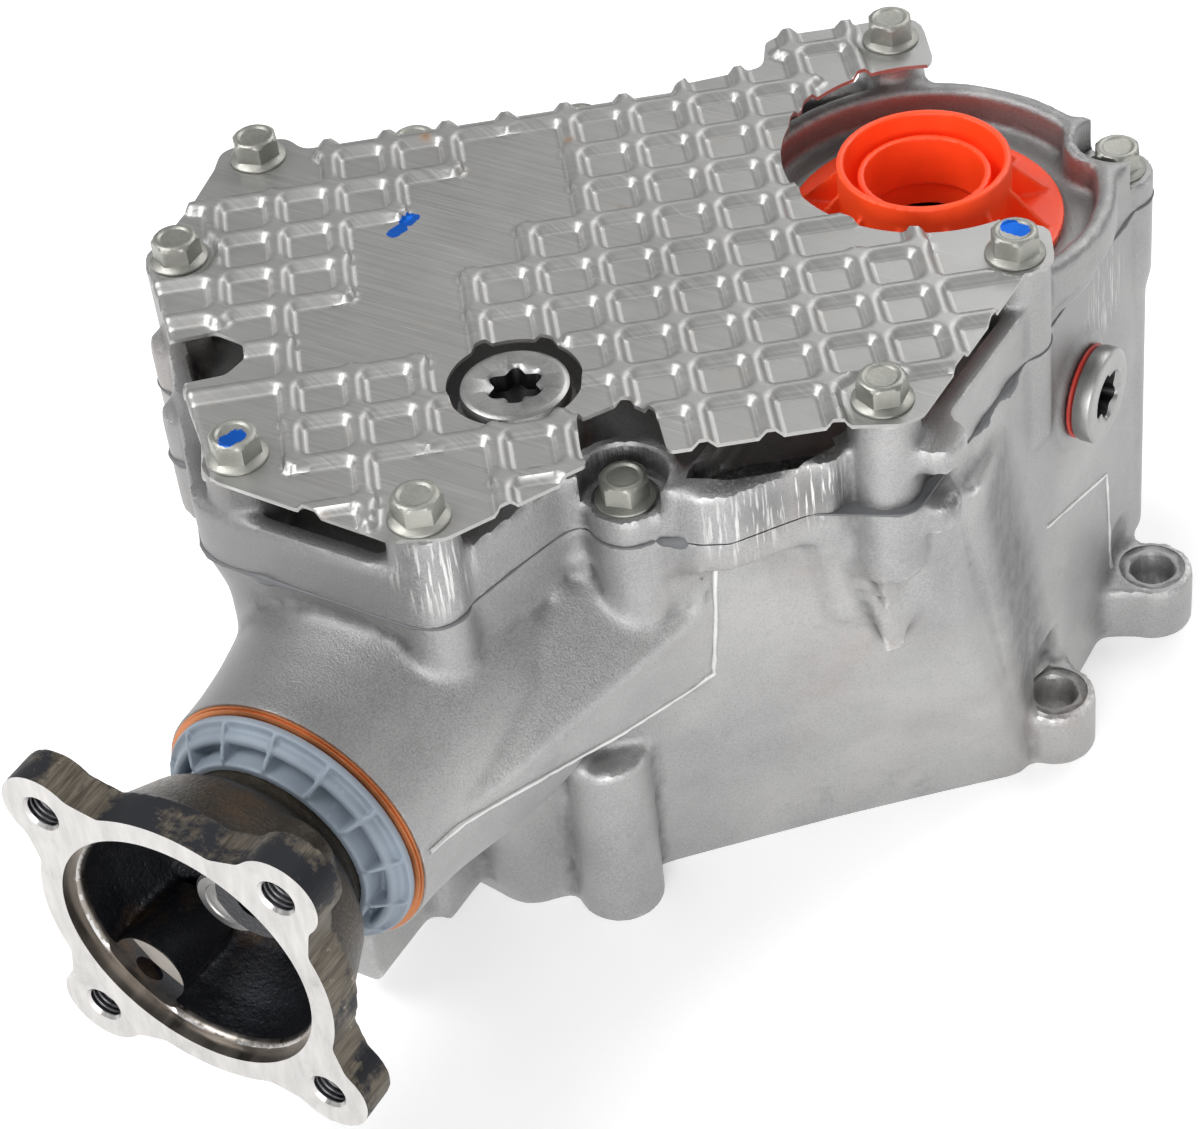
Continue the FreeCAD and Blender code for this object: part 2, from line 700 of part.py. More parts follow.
def side_cover():
    low = parting_z + seal_line
    plate_top = parting_z + cover_plate
    plate = prism(top_outline, low, rim_top_z)
    recess = prism(inset(top_outline, rim_wall), plate_top, rim_top_z + 1.0)
    body = plate.cut(recess)
    rim_inner = sight_recess_radius + sight_ledge
    solids = [body, pipe(input_rim_radius, rim_inner, plate_top - 1.0, input_rim_top_z),
              rod(rim_inner + 2.0, low, sight_floor_z)]
    for x, y in cover_bolts_at:
        solids.append(rod(cover_boss_radius, low, rim_top_z - 2.0, x, y))
    for x, y in side_lugs_at:
        solids.append(rod(side_lug_radius, low, rim_top_z - 3.0, x, y))
    solids.append(rod(fill_boss_radius, low, fill_seat_z, fill_plug_x, fill_plug_y))
    hubs = [
        rod(input_bearing_radius + hub_wall, input_bearing_high_z, low + 1.0),
        rod(transfer_bearing_radius + hub_wall, transfer_high_z, low + 1.0, transfer_x, transfer_y),
        rod(idler_pin_radius + idler_hub_wall, parting_z - 8.0, low + 1.0, idler_x, idler_y),
    ]
    ribs = [bar(start, end, cover_rib_width, plate_top - 1.0, rim_top_z - 3.0)
            for start, end in cover_ribs]
    inside = prism(inset(top_outline, 1.0), low, rim_top_z)
    ribs = [rib.common(inside) for rib in ribs]
    body = fuse(solids + hubs + ribs)
    body = body.cut(rod(rim_inner, sight_floor_z, input_rim_top_z + 1.0))
    columns = []
    plan = prism(top_outline, low, input_rim_top_z)
    for x, y in cover_bolts_at:
        top = input_rim_top_z if (x, y) == right_bolt_at else rim_top_z
        columns.append(rod(pocket_radius + pocket_wall, plate_top - 1.0, top, x, y).common(plan))
    for x, y in shield_bolts_at:
        columns.append(rod(boss_radius, low, shield_top_z - shield_sheet, x, y))
    body = fuse([body] + columns)
    cuts = [rod(input_seal_radius, parting_z + 1.0, sight_floor_z - 1.0),
            rod(sight_recess_radius, sight_floor_z - 1.0, sight_floor_z + 1.0),
            rod(input_bearing_radius, input_bearing_high_z - 1.0,
                input_bearing_high_z + input_bearing_width),
            rod(input_bearing_radius - 6.0, input_bearing_high_z, parting_z + 2.0),
            rod(transfer_bearing_radius, transfer_high_z - 1.0,
                transfer_high_z + transfer_bearing_width, transfer_x, transfer_y),
            rod(idler_pin_radius, parting_z - 9.0, parting_z + 5.0, idler_x, idler_y),
            rod(fill_plug_thread, low - 1.0, fill_seat_z + 1.0, fill_plug_x, fill_plug_y)]
    for x, y in shield_bolts_at:
        cuts.append(rod(bolt_thread + bolt_clearance, low - 1.0, shield_top_z, x, y))
    for x, y in cover_bolts_at:
        cuts.append(rod(bolt_thread + bolt_clearance, low - 1.0, rim_top_z, x, y))
        cuts.append(rod(pocket_radius, cover_seat_z, input_rim_top_z + 1.0, x, y))
    for x, y in dowels_at:
        cuts.append(rod(dowel_radius + thread_gap, low - 1.0, low + 6.0, x, y))
    return cut(body, cuts)


# Shield outline on the grid, clockwise from the left bolt, as u, v and corner radius in pitches
shield_outline = (
    (-4.75, 0.55, 0.3), (-3.3, 0.68, 0.5), (2.75, 0.68, 0.5), (3.1, 0.42, 0.4), (4.3, 0.36, 0.4),
    (4.62, -0.55, 0.25), (7.1, -0.6, 0.5), (7.3, 0.8, 0.4), (7.0, 3.0, 0.3), (8.0, 5.9, 0.3),
    (8.0, 6.7, 0.4), (5.5, 9.9, 0.3), (5.0, 10.1, 0.3), (4.0, 9.98, 0.5), (1.45, 9.95, 0.2),
    (0.2, 10.2, 0.3), (-2.0, 11.1, 0.5), (-2.7, 10.95, 0.5), (-5.3, 9.1, 0.5), (-6.1, 4.2, 0.4),
    (-6.1, 3.2, 0.5), (-5.3, 1.85, 0.3),
)

# Raised ribs on the grid: rows as v, first u, last u and columns as u, first v, last v
rib_rows = (
    (0.0, 4.8, 6.2), (1.0, -3.1, 5.2), (2.0, -5.3, -1.0), (2.0, 1.0, 4.7), (3.0, -5.0, -2.0),
    (3.0, 1.0, 4.5), (4.0, -6.0, -3.0), (4.0, 0.0, 4.5), (5.0, -5.9, -3.0), (5.0, -1.0, 5.3),
    (6.0, -4.9, -4.0), (6.0, -1.0, 6.0), (7.0, -5.6, -2.0), (7.0, 0.4, 7.4), (8.0, -4.0, -1.5),
    (8.0, 0.3, 6.7), (9.0, -4.0, 0.2), (9.0, 1.4, 6.0), (10.1, -3.9, -3.0), (10.1, -1.0, 0.2),
)
rib_columns = (
    (-5.0, 2.0, 5.2), (-4.0, 2.0, 9.0), (-3.0, 0.6, 5.0), (-3.0, 7.0, 10.6), (-2.0, 0.6, 3.0),
    (-2.0, 7.0, 9.0), (-1.0, 0.6, 2.0), (-1.0, 5.0, 7.0), (-1.0, 8.9, 10.8), (0.0, 0.6, 1.0),
    (0.0, 4.0, 7.0), (0.0, 8.8, 10.4), (1.0, 0.6, 8.7), (2.0, 0.6, 10.0), (3.0, 0.5, 10.0),
    (4.0, 0.4, 10.0), (5.0, -0.6, 1.7), (5.0, 6.0, 9.0), (6.0, -0.6, 1.0), (6.0, 5.6, 9.0),
)
sight_centre = on_grid(6.66, 3.3)
notch_centre = on_grid(0.82, 9.62)
left_notch_centre = on_grid(-5.3, 6.0)


def grid_bar(u0, v0, u1, v1, width, low, high):
    half = width / 2.0 / grid_pitch
    du, dv = u1 - u0, v1 - v0
    length = math.hypot(du, dv)
    du, dv = du / length * half, dv / length * half
    return bar(on_grid(u0 - du, v0 - dv), on_grid(u1 + du, v1 + dv), width, low, high)


def heat_shield():
    low = shield_top_z - shield_sheet
    corners = [(on_grid(u, v) + (r * grid_pitch,)) for u, v, r in shield_outline]
    flat = [prism(corners, low, shield_top_z)]
    flat += [rod(lobe_radius, low, shield_top_z, x, y) for x, y in shield_bolts_at]
    sheet = fuse(flat)
    ribs = []
    for v, u0, u1 in rib_rows:
        ribs.append(grid_bar(u0, v, u1, v, rib_width, shield_top_z - 0.5, shield_top_z + rib_height))
    for u, v0, v1 in rib_columns:
        ribs.append(grid_bar(u, v0, u, v1, rib_width, shield_top_z - 0.5, shield_top_z + rib_height))
    cap = prism(corners, low, shield_top_z + rib_height)
    raised = fuse(ribs).common(cap)
    body = fuse([sheet, raised])
    high = shield_top_z + rib_height + 1.0
    cuts = [rod(sight_radius, low - 1.0, high, *sight_centre),
            rod(fill_hole_radius, low - 1.0, high, fill_plug_x, fill_plug_y),
            rod(notch_radius, low - 1.0, high, *notch_centre),
            rod(left_notch_radius, low - 1.0, high, *left_notch_centre)]
    for x, y in shield_bolts_at:
        cuts.append(rod(bolt_thread + bolt_clearance, low - 1.0, high, x, y))
        cuts.append(rod(bolt_flange_radius + 1.0, shield_top_z, high, x, y))
    return cut(body, cuts)


def shield_bolts():
    return [flange_bolt(x, y, shield_top_z, shield_top_z - parting_z + bolt_grip)
            for x, y in shield_bolts_at]


def cover_bolts():
    return [flange_bolt(x, y, cover_seat_z, cover_seat_z - parting_z + bolt_grip - 4.0)
            for x, y in cover_bolts_at]


def input_shaft():
    profile = [(input_bore, input_low_z), (input_seat_radius, input_low_z),
               (input_seat_radius, input_bearing_low_z + input_bearing_width),
               (input_shoulder_radius, input_bearing_low_z + input_bearing_width),
               (input_shoulder_radius, input_bearing_high_z),
               (input_seat_radius, input_bearing_high_z), (input_seat_radius, input_high_z),
               (input_bore, input_high_z)]
    shaft = turned(profile)
    grooves = []
    for i in range(spline_teeth):
        groove = box(input_bore - 1.0, -1.0, input_low_z - 1.0, input_bore + spline_depth, 1.0,
                     input_low_z + spline_length)
        groove.rotate(Vector(0, 0, 0), Vector(0, 0, 1), 360.0 * i / spline_teeth)
        grooves.append(groove)
    return cut(shaft, grooves)


def transfer_shaft():
    low = transfer_low_z + 0.5
    high = transfer_high_z + transfer_bearing_width - 0.5
    profile = [(0.0, low), (transfer_seat_radius, low),
               (transfer_seat_radius, transfer_low_z + transfer_bearing_width),
               (transfer_seat_radius + 3.0, transfer_low_z + transfer_bearing_width),
               (transfer_seat_radius + 3.0, ring_pitch_z + 1.0),
               (transfer_seat_radius, ring_pitch_z + 1.0), (transfer_seat_radius, high), (0.0, high)]
    return moved(turned(profile), transfer_x, transfer_y)


def ring_gear():
    seat = transfer_seat_radius + 3.0 + press_gap
    back = pinion_z - ring_back_z
    rim = ring_radius - 1.5
    inner_z = cone_reach * math.cos(ring_cone) * (1.0 - bevel_face / cone_reach)
    tail = [(rim, back), (seat, back), (seat, inner_z + 3.5)]
    gear = bevel_gear(ring_teeth, pinion_teeth, bevel_ring_addendum, tail, -90.0)
    gear.rotate(Vector(0, 0, 0), Vector(1, 0, 0), 180.0)
    gear.rotate(Vector(0, 0, 0), Vector(0, 0, 1), 180.0)
    return moved(gear, transfer_x, transfer_y, pinion_z)


def pinion_shaft():
    """The pinion and its shaft, its apex on the transfer axis."""
    apex = -transfer_y
    depth = (bevel_ring_addendum + bevel_root_gap) * bevel_module
    cone = math.atan2(pinion_teeth, ring_teeth)
    back = cone_reach * math.cos(cone) + depth * math.sin(cone) + 1.0
    share = 1.0 - bevel_face / cone_reach
    nose = cone_reach * math.cos(cone) * share
    body_radius = pinion_pitch_radius - 1.0
    tail = [(body_radius, back), (0.0, back), (0.0, nose)]
    phase = 180.0 / pinion_teeth - 90.0
    gear = bevel_gear(pinion_teeth, ring_teeth, bevel_pinion_addendum, tail, phase)
    head_low = -pinion_head_y - apex
    head_high = head_low + pinion_head_bearing_width
    tail_low = -pinion_tail_y - apex
    hub_start = tail_low + pinion_tail_bearing_width
    end = -cup_floor_y - apex + 14.0
    stem = fuse([
        rod(pinion_head_seat, back - 0.5, head_high),
        rod(pinion_tail_seat + 0.8, head_high - 0.5, tail_low),
        rod(pinion_tail_seat, tail_low - 0.5, hub_start),
        rod(flange_stem_radius, hub_start - 0.5, -cup_floor_y - apex),
        rod(nut_thread_radius, -cup_floor_y - apex - 0.5, end),
    ])
    collar = rod(pinion_head_seat + 3.0, back - 0.2, head_low)
    centre = Part.makeCone(0.2, 3.4, 3.2, Vector(0, 0, end - 3.0))
    body = fuse([gear, stem, collar]).cut(centre)
    return on_pinion_axis(moved(body, 0.0, 0.0, apex))


def pinion_nut():
    low = -cup_floor_y
    high = low + 9.0
    nut = fuse([rod(15.0, low + 0.02, low + 2.5), hexagon(24.0, low + 2.0, high)])
    return on_pinion_axis(nut.cut(rod(nut_thread_radius + press_gap, low - 1.0, high + 1.0)))


def output_flange():
    """Built along the outward axis, with its face at the far end."""
    face = -flange_face_y
    back = face - flange_thickness
    floor = -cup_floor_y
    hub_low = -pinion_tail_y + pinion_tail_bearing_width
    solids = [rod(flange_web_radius, back, face)]
    for i in range(4):
        x, y = polar(bolt_circle_radius, 45.0 + flange_turn + 90.0 * i)
        solids.append(rod(flange_ear_radius, back, face, x, y))
    solids.append(turned([(0.0, floor - 8.0), (dust_ring_bore, floor - 8.0), (dust_ring_bore, floor),
                          (flange_cup_radius, floor + 7.0),
                          (flange_cup_radius + cup_wall, back - 6.0),
                          (flange_cup_radius + cup_wall + 3.0, back + 1.0), (0.0, back + 1.0)]))
    solids.append(rod(hub_radius, hub_low, floor - 6.0))
    solids.append(rod(dust_ring_bore, -neck_end_y + copper_ring_width + 0.6, floor - 6.0))
    body = fuse(solids)
    cuts = [turned([(0.0, floor), (22.0, floor), (flange_cup_radius - 6.0, floor + 6.0),
                    (flange_cup_radius, back - 4.0), (flange_cup_radius + 1.0, back + 2.0),
                    (flange_cup_radius + 1.0, face + 1.0), (0.0, face + 1.0)]),
            rod(flange_pilot_radius, face - 4.0, face + 1.0),
            rod(flange_stem_radius + press_gap, hub_low - 1.0, floor + 1.0)]
    for i in range(4):
        x, y = polar(bolt_circle_radius, 45.0 + flange_turn + 90.0 * i)
        cuts.append(rod(flange_thread_radius, back - 12.0, face + 1.0, x, y))
    return on_pinion_axis(cut(body, cuts))


def dust_ring():
    """The ribbed ring on the flange hub: plate, rim, bead and radial ribs."""
    low = -neck_end_y + copper_ring_width + 1.0
    high = low + dust_ring_width
    bore = dust_ring_bore + press_gap
    sleeve = bore + 2.0
    middle = (sleeve + dust_ring_radius) / 2.0
    solids = [pipe(dust_ring_radius, bore, low, low + 2.5),
              pipe(dust_ring_radius, dust_ring_radius - 1.8, low, low + dust_rim_height),
              pipe(sleeve, bore, low, high - 2.0),
              Part.makeTorus(middle, 2.0, Vector(0, 0, low + 2.6))]
    for i in range(dust_ring_ribs):
        rib = Part.makeBox(dust_ring_radius - sleeve, 1.4, dust_ring_width,
                           Vector(sleeve - 0.5, -0.7, low + 0.5))
        rib.rotate(Vector(0, 0, 0), Vector(0, 0, 1), 360.0 / dust_ring_ribs * i + 8.0)
        solids.append(rib)
    shell = fuse(solids)
    envelope = turned([(bore, low), (dust_ring_radius, low), (dust_ring_radius, low + dust_rim_height),
                       (sleeve, high - 2.0), (bore, high - 2.0)])
    return on_pinion_axis(shell.common(envelope))


def shipping_plug():
    """The open plug that closes the input seal until the unit is fitted."""
    floor = sight_floor_z - 1.0 + seat_gap
    flange_top = floor + plug_flange_thickness + 1.0
    rim = plug_rim_radius
    sleeve = input_seal_lip - 0.1
    solids = [
        pipe(plug_flange_radius, sleeve - 3.0, floor, flange_top - 1.0),
        pipe(rim, rim - plug_wall, floor, shield_top_z),
        pipe(plug_bore + 2.0, plug_bore, floor, shield_top_z - 5.0),
        pipe(rim, plug_bore, floor, floor + 3.0),
        pipe(sleeve, sleeve - 2.5, input_high_z + 2.0, floor + 1.0),
    ]
    low = flange_top - 1.5
    start = Vector(rim - 1.0, -0.8, low)
    web = Part.Face(Part.makePolygon([start, Vector(plug_flange_radius - 2.5, -0.8, low),
                                      Vector(rim - 1.0, -0.8, shield_top_z - 6.0), start]))
    for i in range(plug_ribs):
        rib = web.extrude(Vector(0, 1.6, 0))
        rib.rotate(Vector(0, 0, 0), Vector(0, 0, 1), 360.0 / plug_ribs * i + 10.0)
        solids.append(rib)
    return fuse(solids)


def export(name, shapes):
    """Writes one node, as one solid or as a group of separate ones."""
    if isinstance(shapes, (list, tuple)):
        shapes = Part.makeCompound(list(shapes))
    if not shapes.isValid():
        print("INVALID", name)
    print(name, "solids", len(shapes.Solids), "volume", round(shapes.Volume))
    shapes.exportStep("parts/%s.step" % name)


os.makedirs("parts", exist_ok=True)

export("main_case", main_case())
export("side_cover", side_cover())
export("cover_sealant", sealant())
export("heat_shield", heat_shield())
export("shield_bolts", shield_bolts())
export("cover_bolts", cover_bolts())
export("dowel_pins", [rod(dowel_radius, parting_z - 8.5, parting_z + 5.5, x, y)
                      for x, y in dowels_at])

# Plugs and their seals
fill_top = fill_seat_z + plug_seal_thickness
export("fill_plug", moved(drive_plug(fill_plug_radius, fill_plug_head, fill_plug_thread),
                          fill_plug_x, fill_plug_y, fill_top))
export("fill_plug_seal", pipe(fill_plug_thread + 3.4, fill_plug_thread + 0.2, fill_seat_z, fill_top,
                              fill_plug_x, fill_plug_y))
export("drain_plug", along_x(drive_plug(drain_plug_radius, 4.5, fill_plug_thread),
                             drain_seat_x + plug_seal_thickness, drain_plug_y, drain_plug_z))
drain_ring = pipe(fill_plug_thread + 2.8, fill_plug_thread + 0.2, 0.0, plug_seal_thickness)
export("drain_plug_seal", along_x(drain_ring, drain_seat_x, drain_plug_y, drain_plug_z))

# Static seals
face_ring = Part.makeTorus(face_ring_radius, face_ring_section, Vector(0, 0, 0))
export("face_seal_ring", face_ring.common(box(-60.0, -60.0, 0.0, 60.0, 60.0, 3.0)))
export("case_input_seal", lip_seal(case_seal_radius, input_seat_radius, pilot_depth + 0.5))
export("cover_input_seal", lip_seal(input_seal_radius, input_seal_lip, parting_z + 1.0))
tail_seal = lip_seal(pinion_tail_bearing_radius, hub_radius, -neck_end_y - 10.0)
export("pinion_seal", on_pinion_axis(tail_seal))
neck_ring_outer = dust_ring_radius + neck_ring_lip
export("neck_ring", on_pinion_axis(pipe(neck_ring_outer, neck_ring_outer - neck_ring_wall,
                                        -neck_end_y, -neck_end_y + copper_ring_width)))

# Input shaft, its gear and bearings
export("input_shaft", input_shaft())
export("input_gear", spur_gear(input_teeth, input_shoulder_radius + press_gap, gear_low_z,
                               gear_low_z + gear_face, input_phase))
inner, outer, balls = ball_bearing(input_seat_radius, input_bearing_radius, input_bearing_width, 14)
heights = (input_bearing_low_z, input_bearing_high_z)
export("input_bearing_inner_rings", [moved(inner, 0.0, 0.0, z) for z in heights])
export("input_bearing_outer_rings", [moved(outer, 0.0, 0.0, z) for z in heights])
export("input_bearing_balls", [moved(ball, 0.0, 0.0, z) for z in heights for ball in balls])

# Idler on its fixed pin
idler_bore = idler_pin_radius + 2.0 * idler_needle_radius + 2.0 * seat_gap
export("idler_pin", moved(rod(idler_pin_radius - press_gap, 4.0, parting_z + 4.8), idler_x, idler_y))
export("idler_gear", moved(spur_gear(idler_teeth, idler_bore, gear_low_z, gear_low_z + gear_face,
                                     idler_phase), idler_x, idler_y))
needles = []
for i in range(idler_needle_count):
    needle_x, needle_y = polar(idler_pin_radius + idler_needle_radius + seat_gap,
                               360.0 / idler_needle_count * i)
    needles.append(rod(idler_needle_radius, gear_low_z + 1.0, gear_low_z + gear_face - 1.0,
                       idler_x + needle_x, idler_y + needle_y))
export("idler_needles", needles)
export("idler_washers", [pipe(15.5, idler_pin_radius + 0.05, z, z + 1.9, idler_x, idler_y)
                         for z in (gear_low_z - 2.0, gear_low_z + gear_face + 0.1)])

# Transfer shaft with the driven gear and the ring gear
export("transfer_shaft", transfer_shaft())
driven = spur_gear(driven_teeth, transfer_seat_radius + 3.0 + press_gap, gear_low_z,
                   gear_low_z + gear_face, driven_phase)
export("driven_gear", moved(driven, transfer_x, transfer_y))
export("ring_gear", ring_gear())
cone, cup, rollers = taper_bearing(transfer_seat_radius, transfer_bearing_radius,
                                   transfer_bearing_width, 13)


def both_ends(shape):
    """The same bearing part at the two ends of the transfer shaft, large ends inward."""
    lower = moved(shape, transfer_x, transfer_y, transfer_low_z)
    flipped = shape.copy()
    flipped.rotate(Vector(0, 0, 0), Vector(1, 0, 0), 180.0)
    upper = moved(flipped, transfer_x, transfer_y, transfer_high_z + transfer_bearing_width)
    return [lower, upper]


export("transfer_bearing_cones", both_ends(cone))
export("transfer_bearing_cups", both_ends(cup))
export("transfer_bearing_rollers", [part for roller in rollers for part in both_ends(roller)])

# Pinion with its bearings, spacer, flange, nut and dust ring
export("pinion_shaft", pinion_shaft())
head_cone, head_cup, head_rollers = taper_bearing(pinion_head_seat, pinion_head_bearing_radius,
                                                  pinion_head_bearing_width, 13)
tail_cone, tail_cup, tail_rollers = taper_bearing(pinion_tail_seat, pinion_tail_bearing_radius,
                                                  pinion_tail_bearing_width, 12)


def at_head(shape):
    flipped = shape.copy()
    flipped.rotate(Vector(0, 0, 0), Vector(1, 0, 0), 180.0)
    return on_pinion_axis(moved(flipped, 0.0, 0.0, -pinion_head_y + pinion_head_bearing_width))


def at_tail(shape):
    return on_pinion_axis(moved(shape, 0.0, 0.0, -pinion_tail_y))


export("pinion_bearing_cones", [at_head(head_cone), at_tail(tail_cone)])
export("pinion_bearing_cups", [at_head(head_cup), at_tail(tail_cup)])
head_set = [at_head(part) for part in head_rollers]
tail_set = [at_tail(part) for part in tail_rollers]
export("pinion_bearing_rollers", head_set + tail_set)
export("pinion_spacer", on_pinion_axis(pipe(20.0, pinion_tail_seat + 0.8 + press_gap,
                                            -pinion_head_y + pinion_head_bearing_width + 0.02,
                                            -pinion_tail_y - 0.02)))
export("output_flange", output_flange())
export("pinion_nut", pinion_nut())
export("dust_ring", dust_ring())
export("shipping_plug", shipping_plug())
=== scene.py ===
import json
import math
import random

import bmesh
import bpy
from mathutils import Matrix, Vector, noise


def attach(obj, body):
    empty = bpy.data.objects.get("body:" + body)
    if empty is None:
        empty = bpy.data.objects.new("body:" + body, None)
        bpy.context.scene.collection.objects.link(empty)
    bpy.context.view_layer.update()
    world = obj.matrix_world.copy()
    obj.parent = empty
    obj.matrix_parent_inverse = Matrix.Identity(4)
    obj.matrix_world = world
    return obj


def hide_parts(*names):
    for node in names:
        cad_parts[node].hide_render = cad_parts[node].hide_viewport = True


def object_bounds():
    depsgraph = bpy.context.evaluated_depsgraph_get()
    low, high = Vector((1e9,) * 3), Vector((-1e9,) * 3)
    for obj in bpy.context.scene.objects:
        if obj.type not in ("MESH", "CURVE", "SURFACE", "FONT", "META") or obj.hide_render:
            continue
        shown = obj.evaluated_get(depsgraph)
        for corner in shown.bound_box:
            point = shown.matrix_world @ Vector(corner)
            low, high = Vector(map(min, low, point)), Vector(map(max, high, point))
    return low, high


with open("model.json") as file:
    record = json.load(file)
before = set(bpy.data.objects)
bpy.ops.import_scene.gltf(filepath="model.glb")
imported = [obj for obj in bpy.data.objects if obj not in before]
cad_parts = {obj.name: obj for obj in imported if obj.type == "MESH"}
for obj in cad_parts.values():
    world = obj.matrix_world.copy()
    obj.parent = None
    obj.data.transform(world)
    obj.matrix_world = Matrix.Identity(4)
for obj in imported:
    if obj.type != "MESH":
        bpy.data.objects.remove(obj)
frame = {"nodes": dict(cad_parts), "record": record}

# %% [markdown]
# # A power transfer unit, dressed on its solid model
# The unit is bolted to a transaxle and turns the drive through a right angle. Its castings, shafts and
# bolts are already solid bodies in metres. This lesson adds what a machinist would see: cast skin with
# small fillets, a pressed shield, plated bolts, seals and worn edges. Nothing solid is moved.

cad_box = [list(corner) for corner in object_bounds()]
nodes = frame["nodes"]
slot_of_node = {part["node"]: part["material_slot"] for part in frame["record"]["subparts"]}
print("solid model, low and high corner:", cad_box)

# %% [markdown]
# The photograph was taken with a long lens from above the front right corner. A camera needs a place,
# three axes and a focal length. The axes go straight into a matrix, as columns, because that holds the
# small roll of the photograph, which an aim point and an up vector would lose.

# %% Camera
camera_place = Vector((0.352, -0.6997, 0.7265))
camera_right = Vector((0.8637, 0.4949, -0.0951))
camera_up = Vector((-0.2693, 0.6128, 0.7430))
camera_back = Vector((0.4260, -0.6161, 0.6625))
camera_data = bpy.data.cameras.new("camera")
camera_data.lens = 97.18
camera_data.sensor_width = 36.0
camera_data.clip_start = 0.05
camera_data.clip_end = 20.0
camera = bpy.data.objects.new("camera", camera_data)
axes = Matrix((camera_right, camera_up, camera_back)).transposed().to_4x4()
camera.matrix_world = Matrix.Translation(camera_place) @ axes
bpy.context.scene.collection.objects.link(camera)
bpy.context.scene.camera = camera
print("camera stands at", tuple(round(value, 3) for value in camera_place))

# %% [markdown]
# A studio table is a broad pale floor. Large soft lamps give the long pale reflections that make
# aluminium read as metal: one high key from the left, one wide fill from the right and one from behind.
# The floor glows more where the camera sees it, also by way of a mirroring or clear surface, than where it
# lights the part. The light path node tells the two apart, so the floor is white and still holds a shadow.

# %% Floor, lamps and world
floor_size = 24.0
lit_glow = 0.08
seen_glow = 0.36
world_strength = 0.46


def make_floor():
    work = bmesh.new()
    bmesh.ops.create_grid(work, x_segments=1, y_segments=1, size=floor_size / 2)
    bmesh.ops.translate(work, verts=work.verts, vec=(0, 0, cad_box[0][2]))
    mesh = bpy.data.meshes.new("floor")
    work.to_mesh(mesh)
    work.free()
    floor = bpy.data.objects.new("floor", mesh)
    bpy.context.scene.collection.objects.link(floor)
    paper = bpy.data.materials.new("paper")
    paper.use_nodes = True
    tree = paper.node_tree
    shader = tree.nodes["Principled BSDF"]
    shader.inputs["Base Color"].default_value = (0.9, 0.9, 0.9, 1.0)
    shader.inputs["Roughness"].default_value = 0.8
    shader.inputs["Emission Color"].default_value = (1.0, 1.0, 1.0, 1.0)
    seen = tree.nodes.new("ShaderNodeLightPath")
    glow = tree.nodes.new("ShaderNodeMapRange")
    glow.inputs["To Min"].default_value = lit_glow
    glow.inputs["To Max"].default_value = seen_glow
    shown = seen.outputs["Is Camera Ray"]
    for kind in ("Is Glossy Ray", "Is Transmission Ray"):
        either = tree.nodes.new("ShaderNodeMath")
        either.operation = "MAXIMUM"
        tree.links.new(shown, either.inputs[0])
        tree.links.new(seen.outputs[kind], either.inputs[1])
        shown = either.outputs[0]
    tree.links.new(shown, glow.inputs["Value"])
    tree.links.new(glow.outputs["Result"], shader.inputs["Emission Strength"])
    mesh.materials.append(paper)


def make_lamp(name, place, aim, size, power):
    """A soft rectangular lamp, aimed at a point."""
    data = bpy.data.lights.new(name, "AREA")
    data.shape = "RECTANGLE"
    data.size, data.size_y = size
    data.energy = power
    lamp = bpy.data.objects.new(name, data)
    lamp.location = place
    lamp.rotation_mode = "QUATERNION"
    lamp.rotation_quaternion = (Vector(aim) - Vector(place)).to_track_quat("-Z", "Y")
    bpy.context.scene.collection.objects.link(lamp)


make_floor()
middle = (-0.06, -0.11, 0.09)
make_lamp("key", (-0.9, -0.7, 1.5), middle, (1.1, 0.8), 17.0)
make_lamp("fill", (0.6, -1.5, 0.6), middle, (1.0, 0.7), 15.0)
make_lamp("rear", (0.1, 1.2, 1.3), middle, (1.4, 0.7), 9.0)
world = bpy.data.worlds.new("studio")
bpy.context.scene.world = world
world.use_nodes = True
world.node_tree.nodes["Background"].inputs["Color"].default_value = (1.0, 1.0, 1.0, 1.0)
world.node_tree.nodes["Background"].inputs["Strength"].default_value = world_strength
bpy.context.scene.view_settings.view_transform = "Standard"

# %% [markdown]
# A material here is a short list of nodes. These helpers add a node, wire a value or a link into it, and
# hand back its output, so that each finish below reads from the coordinates at the start to the shader
# at the end. Every pattern runs on Object coordinates in metres: a scale of 400 is a grain of 2.5 mm.

# %% Helpers for materials


